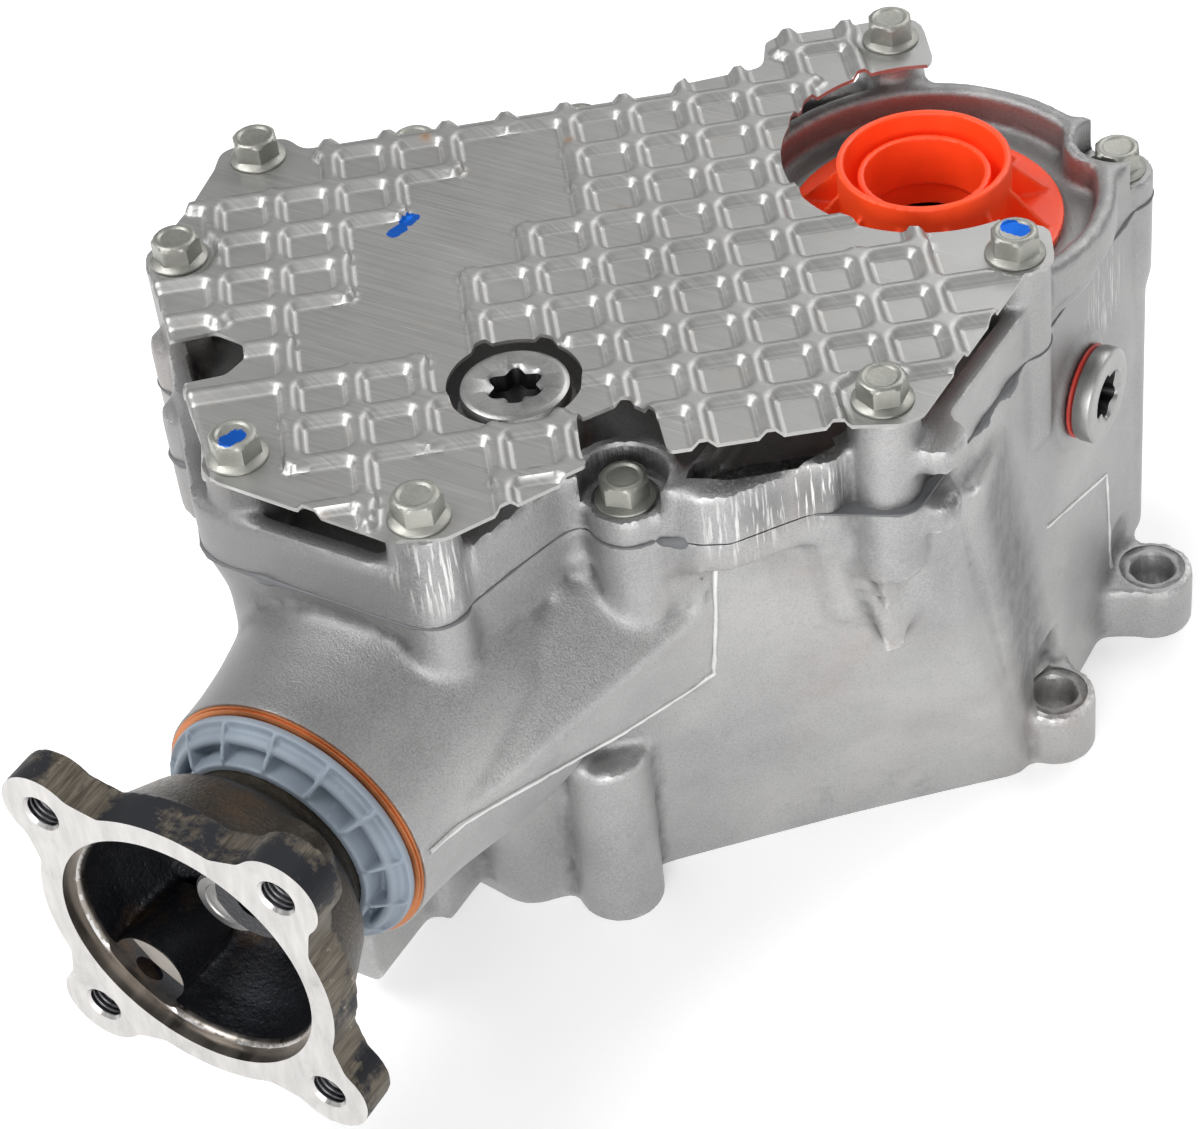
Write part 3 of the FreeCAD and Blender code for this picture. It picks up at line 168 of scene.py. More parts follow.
class Finish:
    """A material being wired up, one node at a time. Scales are per metre."""

    def __init__(self, name, colour, roughness, metallic=0.0):
        self.material = bpy.data.materials.new(name)
        self.material.use_nodes = True
        self.tree = self.material.node_tree
        self.shader = self.tree.nodes["Principled BSDF"]
        self.shader.inputs["Base Color"].default_value = (*colour, 1.0)
        self.shader.inputs["Roughness"].default_value = roughness
        self.shader.inputs["Metallic"].default_value = metallic
        self.place = self.add("ShaderNodeTexCoord").outputs["Object"]

    def add(self, kind, **settings):
        node = self.tree.nodes.new(kind)
        for name, value in settings.items():
            setattr(node, name, value)
        return node

    def feed(self, socket, value):
        if isinstance(value, bpy.types.NodeSocket):
            self.tree.links.new(value, socket)
        else:
            socket.default_value = value

    def mapped(self, scale=(1, 1, 1), turn=(0, 0, 0), shift=(0, 0, 0)):
        """The coordinates stretched, turned in degrees and shifted."""
        node = self.add("ShaderNodeMapping")
        self.feed(node.inputs["Vector"], self.place)
        node.inputs["Scale"].default_value = scale
        node.inputs["Rotation"].default_value = [math.radians(angle) for angle in turn]
        node.inputs["Location"].default_value = shift
        return node.outputs["Vector"]

    def noise(self, scale, detail=3.0, rough=0.55, place=None):
        node = self.add("ShaderNodeTexNoise")
        self.feed(node.inputs["Vector"], place or self.place)
        node.inputs["Scale"].default_value = scale
        node.inputs["Detail"].default_value = detail
        node.inputs["Roughness"].default_value = rough
        return node.outputs["Fac"]

    def cells(self, scale):
        """The distance to the nearest of many scattered points."""
        node = self.add("ShaderNodeTexVoronoi")
        self.feed(node.inputs["Vector"], self.place)
        node.inputs["Scale"].default_value = scale
        return node.outputs["Distance"]

    def window(self, value, low, high, bottom=0.0, top=1.0):
        """Maps low..high of a value to bottom..top, and holds it there outside."""
        node = self.add("ShaderNodeMapRange", clamp=True)
        node.inputs["From Min"].default_value = low
        node.inputs["From Max"].default_value = high
        node.inputs["To Min"].default_value = bottom
        node.inputs["To Max"].default_value = top
        self.feed(node.inputs["Value"], value)
        return node.outputs["Result"]

    def calc(self, operation, first, second):
        node = self.add("ShaderNodeMath", operation=operation)
        self.feed(node.inputs[0], first)
        self.feed(node.inputs[1], second)
        return node.outputs[0]

    def mix(self, factor, first, second):
        """The first colour at factor 0 and the second at 1."""
        node = self.add("ShaderNodeMix", data_type="RGBA")
        self.feed(node.inputs["Factor"], factor)
        for socket, colour in (("A", first), ("B", second)):
            self.feed(node.inputs[socket], (*colour, 1.0) if isinstance(colour, tuple) else colour)
        return node.outputs["Result"]

    def near(self, points, reach):
        """One close to any of some points, fading to zero at a distance."""
        best = None
        for point in points:
            gap = self.add("ShaderNodeVectorMath", operation="DISTANCE")
            self.feed(gap.inputs[0], self.place)
            gap.inputs[1].default_value = point
            here = self.window(gap.outputs["Value"], reach, reach * 0.4)
            best = here if best is None else self.calc("MAXIMUM", best, here)
        return best

    def edge(self):
        """The bend of the surface: over a half on edges, under a half in hollows."""
        return self.add("ShaderNodeNewGeometry").outputs["Pointiness"]

    def bump(self, height, depth, strength=1.0, under=None):
        """A relief of a depth in metres, on top of another where one is given."""
        node = self.add("ShaderNodeBump")
        self.feed(node.inputs["Height"], height)
        node.inputs["Distance"].default_value = depth
        node.inputs["Strength"].default_value = strength
        if under is not None:
            self.feed(node.inputs["Normal"], under)
        return node.outputs["Normal"]

    def done(self, colour, roughness, normal):
        self.feed(self.shader.inputs["Base Color"], colour)
        if roughness is not None:
            self.feed(self.shader.inputs["Roughness"], roughness)
        self.feed(self.shader.inputs["Normal"], normal)
        return self.material


print("materials are wired with", [name for name in vars(Finish) if not name.startswith("_")])

# %% [markdown]
# First every solid gets a finish that already suits it: oiled gear steel, ground bearing steel, moulded
# rubber and so on. Each one has a grain, a drift of tone and a roughness that changes over the surface.

# %% Finishes of steel, rubber and plastic


def tinted(colour, share):
    """A lighter or darker share of a colour."""
    return tuple(min(1.0, value * share) for value in colour)


# Blue marks of the inspector, on the sheet and on two bolt heads
paint_dabs = ((-0.1258, -0.0913, 0.1810), (-0.1253, -0.0889, 0.1810), (-0.1252, -0.0852, 0.1810),
              (-0.1249, -0.0830, 0.1810))
bolt_dabs = ((-0.1100, -0.1969, 0.1890), (-0.1092, -0.1943, 0.1890),
             (0.0416, -0.0308, 0.1890), (0.0447, -0.0311, 0.1890))


def painted(finish, tone, points, reach):
    """Adds dabs of blue marking paint with a ragged edge."""
    ragged = finish.noise(700.0, 3.0, 0.7)
    dab = finish.window(finish.calc("MULTIPLY", finish.near(points, reach), ragged), 0.2, 0.26)
    return finish.mix(dab, tone, (0.01, 0.13, 0.6))


def turned_metal(name, colour, roughness, grain):
    """Machined steel: fine tool marks, a mottled oil film and small nicks."""
    finish = Finish(name, colour, roughness, 1.0)
    film = finish.noise(55.0, 4.0)
    marks = finish.noise(grain, 2.0, 0.7, finish.mapped((1.0, 1.0, 9.0)))
    nicks = finish.window(finish.cells(260.0), 0.0, 0.14, 1.0, 0.0)
    tone = finish.mix(finish.window(film, 0.35, 0.68), tinted(colour, 0.72), colour)
    tone = finish.mix(finish.window(marks, 0.4, 0.75, 0.0, 0.35), tone, tinted(colour, 1.3))
    if name == "zinc_plate":
        tone = painted(finish, tone, bolt_dabs, 0.004)
    rough = finish.window(film, 0.3, 0.7, roughness * 0.75, roughness * 1.35)
    relief = finish.bump(marks, 0.00006)
    relief = finish.bump(nicks, 0.00008, 0.5, relief)
    return finish.done(tone, rough, relief)


def moulded(name, colour, roughness):
    """Rubber or plastic from a mould: faint flow marks, fine pitting and lighter sharp edges."""
    finish = Finish(name, colour, roughness)
    flow = finish.noise(90.0, 3.0, 0.5)
    pits = finish.noise(1400.0, 2.0)
    tone = finish.mix(finish.window(flow, 0.35, 0.7), tinted(colour, 0.86), colour)
    edge = finish.window(finish.edge(), 0.52, 0.58)
    tone = finish.mix(finish.calc("MULTIPLY", edge, 0.4), tone, tinted(colour, 1.25))
    rough = finish.window(flow, 0.3, 0.7, roughness * 0.85, min(1.0, roughness * 1.2))
    return finish.done(tone, rough, finish.bump(pits, 0.00004))


# %% [markdown]
# Sand-cast aluminium has a skin of fine grain, a slow drift of tone, painted shade in the hollows and
# bright places where edges have been knocked. The bend of the surface, which the shader knows as
# pointiness, tells hollows from edges.

# %% Finish of the castings
# Where the casting has been scuffed: under the front bolt, on the cover's left and front, on the right side
scuffs = ((-0.0265, -0.1496, 0.107), (-0.0445, -0.2, 0.168), (0.0074, -0.134, 0.155),
          (0.0217, -0.124, 0.160), (0.050, 0.016, 0.135))
# The recess round the input and the left of the cover get painted shade
shaded_places = ((0.0, 0.0, 0.150), (-0.125, -0.215, 0.165))
# Painted shade darkens the strip behind the sharp front corner and three narrow crevices under the shield
side_shade_strip = tuple((0.053, -0.066 + 0.003 * step, 0.125 - 0.012 * step) for step in range(8))
crevices = ((0.0505, -0.098, 0.1535), (0.010, -0.128, 0.157), (0.022, -0.116, 0.157))


def cast_metal(name, dark, light, worn, stains):
    """Sand-cast skin: grain, painted shade in hollows, knocked edges, stains, scuffs, then painted shade in
    places.
    """
    finish = Finish(name, light, 0.46, 0.9)
    drift = finish.noise(15.0, 5.0, 0.6)
    grain = finish.noise(1500.0, 3.0, 0.75)
    lumps = finish.noise(240.0, 3.0, 0.6)
    tone = finish.mix(finish.window(drift, 0.36, 0.64), dark, light)
    tone = finish.mix(finish.window(grain, 0.45, 0.75, 0.0, 0.4), tone, tinted(light, 1.3))
    tone = finish.mix(finish.window(grain, 0.5, 0.28, 0.0, 0.4), tone, tinted(dark, 0.6))
    bend = finish.edge()
    # Painted shade: the hollows, and three crevices under the shield, are darkened
    hollow_shade = finish.calc("MULTIPLY", finish.window(bend, 0.495, 0.462), finish.window(lumps, 0.3, 0.6, 0.45))
    hollow_shade = finish.calc("MAXIMUM", hollow_shade, finish.near(crevices, 0.014))
    tone = finish.mix(finish.calc("MULTIPLY", hollow_shade, 0.72), tone, tinted(dark, 0.24))
    knocked = finish.window(finish.noise(95.0, 6.0, 0.8), 0.5, 0.58)
    bright = finish.calc("MULTIPLY", finish.window(bend, 0.52, 0.57), knocked)
    tone = finish.mix(finish.calc("MULTIPLY", bright, 0.6), tone, worn)
    spill = finish.calc("MULTIPLY", finish.window(finish.noise(11.0, 5.0, 0.65), 0.56, 0.72), stains)
    tone = finish.mix(spill, tone, (0.34, 0.22, 0.17))
    smudge = finish.window(finish.noise(34.0, 6.0, 0.75), 0.6, 0.72, 0.0, 0.35)
    tone = finish.mix(smudge, tone, tinted(dark, 0.62))
    streak_place = finish.mapped((800.0, 800.0, 60.0), (12, 18, 0))
    streak = finish.noise(1.0, 3.0, 0.6, streak_place)
    scuff = finish.calc("MULTIPLY", finish.window(streak, 0.54, 0.62), finish.near(scuffs, 0.017))
    tone = finish.mix(finish.calc("MULTIPLY", scuff, 0.75), tone, worn)
    # Painted shade on the recess round the input and on the left of the cover
    painted_shade = finish.calc("MULTIPLY", finish.near(shaded_places, 0.085), finish.window(drift, 0.3, 0.6, 0.35, 0.62))
    tone = finish.mix(painted_shade, tone, tinted(dark, 0.42))
    # Painted shade on the strip behind the sharp front corner
    strip = finish.calc("MULTIPLY", finish.near(side_shade_strip, 0.018), finish.window(lumps, 0.3, 0.6, 0.4, 0.7))
    tone = finish.mix(strip, tone, tinted(dark, 0.3))
    rough = finish.window(grain, 0.3, 0.7, 0.38, 0.58)
    rough = finish.calc("SUBTRACT", rough, finish.calc("MULTIPLY", bright, 0.14))
    relief = finish.bump(grain, 0.00022, 0.8)
    relief = finish.bump(lumps, 0.00022, 0.5, relief)
    return finish.done(tone, rough, relief)


print("places of scuffs, grime and crevices:", len(scuffs) + len(shaded_places) + len(crevices))

# %% [markdown]
# Rolled sheet is brushed one way, with a painted highlight along every fold. The pressing, made further down,
# leaves an attribute on the sheet's points that says how far each one was lifted, and the painted highlight
# of the fold reads it. A little rust and dust lie on top.

# %% Finish of the pressed sheet


def pressed_sheet(name, colour):
    """Rolled sheet with brushed lines, a painted highlight where the press bent it, and brown specks."""
    finish = Finish(name, colour, 0.42, 0.95)
    along = finish.mapped((30.0, 2200.0, 30.0), (0, 0, -36.87))
    brushed = finish.noise(1.0, 3.0, 0.6, along)
    drift = finish.noise(19.0, 4.0, 0.6)
    grain = finish.noise(1300.0, 2.0, 0.6)
    tone = finish.mix(finish.window(drift, 0.36, 0.66), tinted(colour, 0.84), colour)
    tone = finish.mix(finish.window(brushed, 0.35, 0.7, 0.0, 0.28), tone, tinted(colour, 1.3))
    press = finish.add("ShaderNodeAttribute", attribute_name="press").outputs["Fac"]
    # Painted highlight: a lighter band at the foot of each rib, where the sheet bends
    fold_highlight = finish.calc("MULTIPLY", finish.window(press, 0.01, 0.05), finish.window(press, 0.2, 0.08))
    tone = finish.mix(finish.calc("MULTIPLY", fold_highlight, 0.55), tone, tinted(colour, 1.45))
    rust = finish.window(finish.cells(46.0), 0.0, 0.13, 1.0, 0.0)
    patchy = finish.window(finish.noise(15.0, 3.0, 0.6), 0.52, 0.58)
    rust = finish.calc("MULTIPLY", rust, patchy)
    tone = finish.mix(finish.calc("MULTIPLY", rust, 0.75), tone, (0.34, 0.16, 0.045))
    dust = finish.window(finish.noise(60.0, 5.0, 0.75), 0.6, 0.74, 0.0, 0.4)
    tone = finish.mix(dust, tone, (0.46, 0.41, 0.33))
    scratch_place = finish.mapped((40.0, 1300.0, 40.0), (0, 0, 23))
    scratch = finish.window(finish.noise(1.0, 1.0, 0.5, scratch_place), 0.73, 0.75)
    tone = finish.mix(finish.calc("MULTIPLY", scratch, 0.4), tone, tinted(colour, 1.5))
    tone = painted(finish, tone, paint_dabs, 0.0032)
    rough = finish.window(brushed, 0.3, 0.7, 0.38, 0.5)
    rough = finish.calc("ADD", rough, finish.calc("MULTIPLY", rust, 0.3))
    relief = finish.bump(brushed, 0.00002)
    relief = finish.bump(grain, 0.00003, 0.6, relief)
    return finish.done(tone, rough, relief)


print("dabs of marking paint on the sheet:", len(paint_dabs))

# %% [markdown]
# Each finish is made once and kept under the name of its slot, the word that the part's record uses for a
# material. Every solid then looks up its own. Two finishes belong to no slot: scraped metal for the
# parting beads, and near-black painted shade for the inside of a socket.

# %% All finishes, and each solid's own
finishes = {
    "gear_steel": turned_metal("gear_steel", (0.36, 0.355, 0.35), 0.34, 700.0),
    "bearing_steel": turned_metal("bearing_steel", (0.62, 0.62, 0.62), 0.2, 1100.0),
    "plug_steel": turned_metal("plug_steel", (0.42, 0.42, 0.415), 0.34, 900.0),
    "zinc_plate": turned_metal("zinc_plate", (0.43, 0.43, 0.395), 0.44, 900.0),
    "copper_coat": turned_metal("copper_coat", (0.62, 0.24, 0.10), 0.4, 900.0),
    "scraped": turned_metal("scraped", (0.86, 0.86, 0.85), 0.42, 900.0),
    # Near-black painted shade for the inside of a socket
    "socket": turned_metal("socket", (0.05, 0.05, 0.052), 0.45, 600.0),
    "cast_iron": cast_metal("cast_iron", (0.07, 0.067, 0.06), (0.16, 0.15, 0.14), (0.5, 0.5, 0.5), 0.5),
    "cast_aluminium": cast_metal("cast_aluminium", (0.35, 0.35, 0.352), (0.48, 0.476, 0.472),
                                 (0.92, 0.92, 0.91), 0.2),
    "shield_sheet": pressed_sheet("shield_sheet", (0.43, 0.428, 0.42)),
    "sealant": moulded("sealant", (0.13, 0.133, 0.14), 0.5),
    "red_rubber": moulded("red_rubber", (0.42, 0.03, 0.02), 0.45),
    "black_rubber": moulded("black_rubber", (0.02, 0.02, 0.02), 0.5),
    "orange_plastic": moulded("orange_plastic", (1.0, 0.075, 0.012), 0.42),
    "blue_grey_plastic": moulded("blue_grey_plastic", (0.27, 0.32, 0.38), 0.5),
}
# Painted glow: the plastic emits a little light, so it looks brighter than its surface alone
glow = finishes["orange_plastic"].node_tree.nodes["Principled BSDF"].inputs
glow["Emission Color"].default_value = (1.0, 0.06, 0.012, 1.0)
glow["Emission Strength"].default_value = 0.09
for name, node in nodes.items():
    node.data.materials.clear()
    node.data.materials.append(finishes[slot_of_node[name]])
print("finishes:", len(finishes), "on", len(nodes), "solids")

# %% [markdown]
# New pieces share a few tools. A piece takes a finished mesh, its material and the body it rides on. A
# settled piece has its modifiers turned into mesh. A cut takes one closed form out of another, with the
# solver that is made for closed meshes.

# %% Pieces and cuts


def make_piece(name, work, slot, body, replaced=()):
    """Turns a bmesh into a visible piece that rides on a body."""
    mesh = bpy.data.meshes.new(name)
    work.to_mesh(mesh)
    work.free()
    item = bpy.data.objects.new(name, mesh)
    bpy.context.scene.collection.objects.link(item)
    mesh.materials.append(finishes[slot])
    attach(item, body)
    if replaced:
        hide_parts(*replaced)
    return item


def settle(item):
    """Turns an object's modifiers into mesh."""
    graph = bpy.context.evaluated_depsgraph_get()
    mesh = bpy.data.meshes.new_from_object(item.evaluated_get(graph))
    item.modifiers.clear()
    old = item.data
    item.data = mesh
    bpy.data.meshes.remove(old)


def smooth_shade(item, degrees):
    """Shades a piece smooth, with hard edges where faces turn by more than an angle."""
    item.data.polygons.foreach_set("use_smooth", [True] * len(item.data.polygons))
    item.data.set_sharp_from_angle(angle=math.radians(degrees))


def carve(item, tool, operation="DIFFERENCE"):
    """Cuts one closed bmesh out of a piece, or keeps only what lies in it."""
    mesh = bpy.data.meshes.new("tool")
    tool.to_mesh(mesh)
    tool.free()
    other = bpy.data.objects.new("tool", mesh)
    bpy.context.scene.collection.objects.link(other)
    cut = item.modifiers.new("cut", "BOOLEAN")
    cut.operation = operation
    cut.solver = "MANIFOLD"
    cut.object = other
    settle(item)
    bpy.data.objects.remove(other)
    bpy.data.meshes.remove(mesh)


print("slots in use:", len(set(slot_of_node.values())))

# %% [markdown]
# Cutters and small parts start from a few closed forms. A lathe stacks rings whose radius may change with
# the angle, which makes washers, hexagons and lobed sockets alike. A prism stands on a plan, whose corners
# may be rounded first. A copy of a solid has its doubled points merged, so that it is closed as well.

# %% Closed forms


def polar(radius, angle, height=0.0):
    return Vector((radius * math.cos(angle), radius * math.sin(angle), height))


def lathe(work, rings, segments, place):
    """Stacks rings of (height, radius) into a closed solid; a radius may be a function of the angle."""
    stacked = []
    for height, radius in rings:
        loop = []
        for step in range(segments):
            angle = math.tau * step / segments
            reach = radius(angle) if callable(radius) else radius
            loop.append(work.verts.new(place @ polar(reach, angle, height)))
        stacked.append(loop)
    for low, high in zip(stacked, stacked[1:]):
        for step in range(segments):
            after = (step + 1) % segments
            work.faces.new((low[step], low[after], high[after], high[step]))
    work.faces.new(list(reversed(stacked[0])))
    work.faces.new(stacked[-1])


def rod(radius, low, high, place=(0.0, 0.0, 0.0), turn=Matrix.Identity(4), segments=96):
    """A closed cylinder along the turned Z axis."""
    work = bmesh.new()
    lathe(work, ((low, radius), (high, radius)), segments, Matrix.Translation(place) @ turn)
    return work


def block(low, high):
    """A closed box between two corners."""
    work = bmesh.new()
    bmesh.ops.create_cube(work, size=1.0)
    size = [b - a for a, b in zip(low, high)]
    centre = [(a + b) / 2 for a, b in zip(low, high)]
    bmesh.ops.scale(work, verts=work.verts, vec=size)
    bmesh.ops.translate(work, verts=work.verts, vec=centre)
    return work


def rounded(corners):
    """Points along a closed outline with a curve at each corner of (x, y, radius)."""
    steps = 5
    points = []
    count = len(corners)
    for i, (x, y, radius) in enumerate(corners):
        here = Vector((x, y))
        before = Vector(corners[i - 1][:2]) - here
        after = Vector(corners[(i + 1) % count][:2]) - here
        half = before.angle(after) / 2
        reach = min(radius / math.tan(half), before.length * 0.49, after.length * 0.49)
        first, last = here + before.normalized() * reach, here + after.normalized() * reach
        for step in range(steps + 1):
            share = step / steps
            points.append(first.lerp(here, share).lerp(here.lerp(last, share), share))
    return points


def prism(points, low, high):
    """A closed upright solid over a plan."""
    work = bmesh.new()
    face = work.faces.new([work.verts.new((x, y, low)) for x, y in points])
    lifted = bmesh.ops.extrude_face_region(work, geom=[face])
    top = [item for item in lifted["geom"] if isinstance(item, bmesh.types.BMVert)]
    bmesh.ops.translate(work, verts=top, vec=(0, 0, high - low))
    bmesh.ops.recalc_face_normals(work, faces=work.faces)
    return work


def merged(node):
    """A joined copy of a solid's mesh, ready to be worked."""
    work = bmesh.new()
    work.from_mesh(nodes[node].data)
    bmesh.ops.remove_doubles(work, verts=work.verts, dist=1e-6)
    bmesh.ops.recalc_face_normals(work, faces=work.faces)
    return work


print("a test rod has", len(rod(0.01, 0.0, 0.02).verts), "points")

# %% [markdown]
# The heat shield is one sheet of aluminium, pressed with a grid of ribs so that it stays stiff and does
# not drum. Its grid is turned against the case, so this cell first names that grid. A flat sheet is then
# cut to its outline with a boolean, and every point is lifted by the height of the pressing. A boolean
# alone would give hard steps, and a pressed sheet has soft ones.

# %% The shield's grid and outline
pitch = 0.018
grid_across = 0.8
grid_along = 0.6
grid_origin = (6.537, 3.62)
case_parting = 0.150
shield_top = 0.181
sheet_thickness = 0.0012
rib_height = 0.0024


def on_grid(u, v):
    """Turns a place on the shield's grid into x and y."""
    du = (u - grid_origin[0]) * pitch
    dv = (v - grid_origin[1]) * pitch
    return grid_across * du + grid_along * dv, grid_along * du - grid_across * dv


# Corners clockwise from the first bolt, as u, v and corner radius, all in pitches
shield_corners = (
    (-4.80, 0.36, 0.40), (-3.72, 0.26, 0.35), (-3.42, 0.70, 0.30), (2.85, 0.66, 0.35),
    (3.12, 0.45, 0.25), (4.44, 0.31, 0.30), (4.60, -0.42, 0.20), (4.85, -0.57, 0.15),
    (6.10, -0.56, 0.30), (7.30, -0.62, 0.62), (7.26, 0.84, 0.40), (6.95, 1.15, 0.10),
    (6.66, 3.30, 0.10), (7.20, 5.40, 0.10), (7.50, 5.74, 0.20), (8.08, 5.90, 0.55),
    (7.96, 6.84, 0.40), (7.38, 7.12, 0.30), (5.26, 10.02, 0.25), (4.90, 10.16, 0.30),
    (3.94, 9.97, 0.40), (1.46, 9.97, 0.12), (1.42, 9.12, 0.30), (1.00, 8.64, 0.35),
    (0.23, 8.94, 0.25), (0.21, 9.60, 0.20), (0.25, 10.14, 0.12), (-0.83, 10.63, 0.40),
    (-1.95, 11.14, 0.40), (-2.72, 11.02, 0.40), (-5.18, 9.08, 0.35), (-5.44, 8.60, 0.30),
    (-5.38, 8.10, 0.30), (-5.66, 6.60, 0.12), (-4.95, 6.54, 0.25), (-4.64, 6.20, 0.22),
    (-4.66, 5.78, 0.22), (-5.08, 5.40, 0.25), (-5.80, 5.46, 0.12), (-6.02, 4.05, 0.30),
    (-6.18, 3.16, 0.50), (-5.62, 2.34, 0.35), (-5.32, 1.80, 0.40), (-4.94, 0.92, 0.35),
)
# Rows as v, first u, last u, and columns as u, first v, last v
rib_rows = (
    (0.0, 4.8, 6.2), (1.0, -3.1, 5.2), (2.0, -5.3, -1.0), (2.0, 1.0, 4.7), (3.0, -5.0, -2.0),
    (3.0, 1.0, 4.5), (4.0, -6.0, -3.0), (4.0, 0.0, 4.5), (5.0, -5.9, -3.0), (5.0, -1.0, 5.3),
    (6.0, -4.9, -4.0), (6.0, -1.0, 6.0), (7.0, -5.6, -2.0), (7.0, 0.4, 7.4), (8.0, -4.0, -1.5),
    (8.0, 0.3, 6.7), (9.0, -4.0, 0.2), (9.0, 1.4, 6.0), (10.1, -3.9, -3.0), (10.1, -1.0, 0.2),
)
rib_columns = (
    (-5.0, 2.0, 5.2), (-4.0, 2.0, 9.0), (-3.0, 0.6, 5.0), (-3.0, 7.0, 10.6), (-2.0, 0.6, 3.0),
    (-2.0, 7.0, 9.0), (-1.0, 0.6, 2.0), (-1.0, 5.0, 7.0), (-1.0, 8.9, 10.8), (0.0, 0.6, 1.0),
    (0.0, 4.0, 7.0), (0.0, 8.8, 10.4), (1.0, 0.6, 8.7), (2.0, 0.6, 10.0), (3.0, 0.5, 10.0),
    (4.0, 0.4, 10.0), (5.0, -0.6, 1.7), (5.0, 6.0, 9.0), (6.0, -0.6, 1.0), (6.0, 5.6, 9.0),
)
shield_bolt_places = (
    (-0.1855, -0.0745), (-0.1780, -0.1265), (-0.1105, -0.1940), (-0.0515, -0.1955),
    (0.0380, -0.1045), (0.0435, -0.0320), (-0.0365, 0.0530),
)
fill_plug_place = (-0.0575, -0.137)
sight_centre = on_grid(6.66, 3.30)
sight_radius = 0.0428
fill_hole_radius = 0.0189
print("ribs:", len(rib_rows) + len(rib_columns), "shield corners:", len(shield_corners))

# %% [markdown]
# The flat sheet starts as a grid of points that lines up with the ribs, so that every fold falls on a row
# of points. It gets its thickness first and is then cut to its outline, with the two round openings.

# %% Cut the flat sheet
sheet_step = pitch / 16
sheet_u = (-6.5, 8.5)
sheet_v = (-1.0, 11.5)
cutter_reach = 0.01


def cut_sheet():
    width, depth = (sheet_u[1] - sheet_u[0]) * pitch, (sheet_v[1] - sheet_v[0]) * pitch
    turn = Matrix.Rotation(math.atan2(grid_along, grid_across), 4, "Z")
    place = Matrix.Translation((*on_grid(sum(sheet_u) / 2, sum(sheet_v) / 2), shield_top))
    size = Matrix.Diagonal((width, depth, 1.0, 1.0))
    work = bmesh.new()
    bmesh.ops.create_grid(work, x_segments=round(width / sheet_step), y_segments=round(depth / sheet_step),
                          size=0.5, matrix=place @ turn @ size)
    shield = make_piece("pressed_shield", work, "shield_sheet", "housing", ["heat_shield"])
    thick = shield.modifiers.new("thickness", "SOLIDIFY")
    thick.thickness = sheet_thickness
    thick.offset = -1.0
    settle(shield)
    low, high = shield_top - cutter_reach, shield_top + cutter_reach
    outline = rounded([(*on_grid(u, v), r * pitch) for u, v, r in shield_corners])
    carve(shield, prism(outline, low, high), "INTERSECT")
    carve(shield, rod(sight_radius, low, high, (*sight_centre, 0)))
    carve(shield, rod(fill_hole_radius, low, high, (*fill_plug_place, 0)))
    return shield


shield = cut_sheet()
print("flat sheet points:", len(shield.data.vertices))

# %% [markdown]
# The height of the pressing comes from the distance to the nearest row and column. A smooth minimum of
# the two distances rounds the corners of every pocket, as a press tool does. Around each bolt the sheet
# stays flat, and beyond one line on the left it is folded down.

# %% Press the shield
import numpy as np

rib_top_half = 0.0015
rib_foot_half = 0.0030
corner_softness = 0.0010
flat_seat = (0.0098, 0.0125)
fold_from = (-5.95, 4.0)
fold_to = (-5.30, 8.3)
fold_slope = 1.4
fold_ease = 0.002


def nearest(points, lines):
    """Distance from each point to the nearest of some straight segments, in metres."""
    best = np.full(len(points), 1.0)
    for start, end in lines:
        start, end = np.array(start), np.array(end)
        run = end - start
        share = np.clip(((points - start) @ run) / (run @ run), 0.0, 1.0)
        gap = points - start - share[:, None] * run
        best = np.minimum(best, np.hypot(gap[:, 0], gap[:, 1]) * pitch)
    return best


def eased(value, low, high):
    """Zero at low, one at high and smooth at both ends."""
    share = np.clip((value - low) / (high - low), 0.0, 1.0)
    return share * share * (3.0 - 2.0 * share)


def press(shield):
    mesh = shield.data
    place = np.empty(len(mesh.vertices) * 3)
    mesh.vertices.foreach_get("co", place)
    place = place.reshape(-1, 3)
    across = grid_across * place[:, 0] + grid_along * place[:, 1]
    along = grid_along * place[:, 0] - grid_across * place[:, 1]
    points = np.stack((across / pitch + grid_origin[0], along / pitch + grid_origin[1]), axis=1)
    row_gap = nearest(points, [((u0, v), (u1, v)) for v, u0, u1 in rib_rows])
    column_gap = nearest(points, [((u, v0), (u, v1)) for u, v0, v1 in rib_columns])
    closeness = np.exp(-row_gap / corner_softness) + np.exp(-column_gap / corner_softness)
    rise = eased(-corner_softness * np.log(closeness), rib_foot_half, rib_top_half)
    for x, y in shield_bolt_places:
        rise *= eased(np.hypot(place[:, 0] - x, place[:, 1] - y), *flat_seat)
    lift = rise * rib_height
    run = np.array(fold_to) - np.array(fold_from)
    run /= np.hypot(*run)
    beyond = ((points - np.array(fold_from)) @ np.array((-run[1], run[0]))) * pitch
    lift -= np.clip(beyond, 0.0, None) * fold_slope * eased(beyond, 0.0, fold_ease)
    place[:, 2] += lift
    mesh.vertices.foreach_set("co", place.ravel())
    attribute = mesh.attributes.new("press", "FLOAT", "POINT")
    attribute.data.foreach_set("value", rise)
    mesh.update()
    smooth_shade(shield, 50.0)
    return place


pressed = press(shield)
print("shield from", round(pressed[:, 2].min(), 4), "to", round(pressed[:, 2].max(), 4))

# %% [markdown]
# Sand casting rounds every edge. A remesh with small voxels joins the solid's forms into one skin, and a
# few rounds of smoothing melt its edges. Machined faces are pushed out first and cut back after, so they
# stay flat and crisp against the soft skin.

# %% Casting tools
from mathutils.bvhtree import BVHTree

face_margin = 0.003


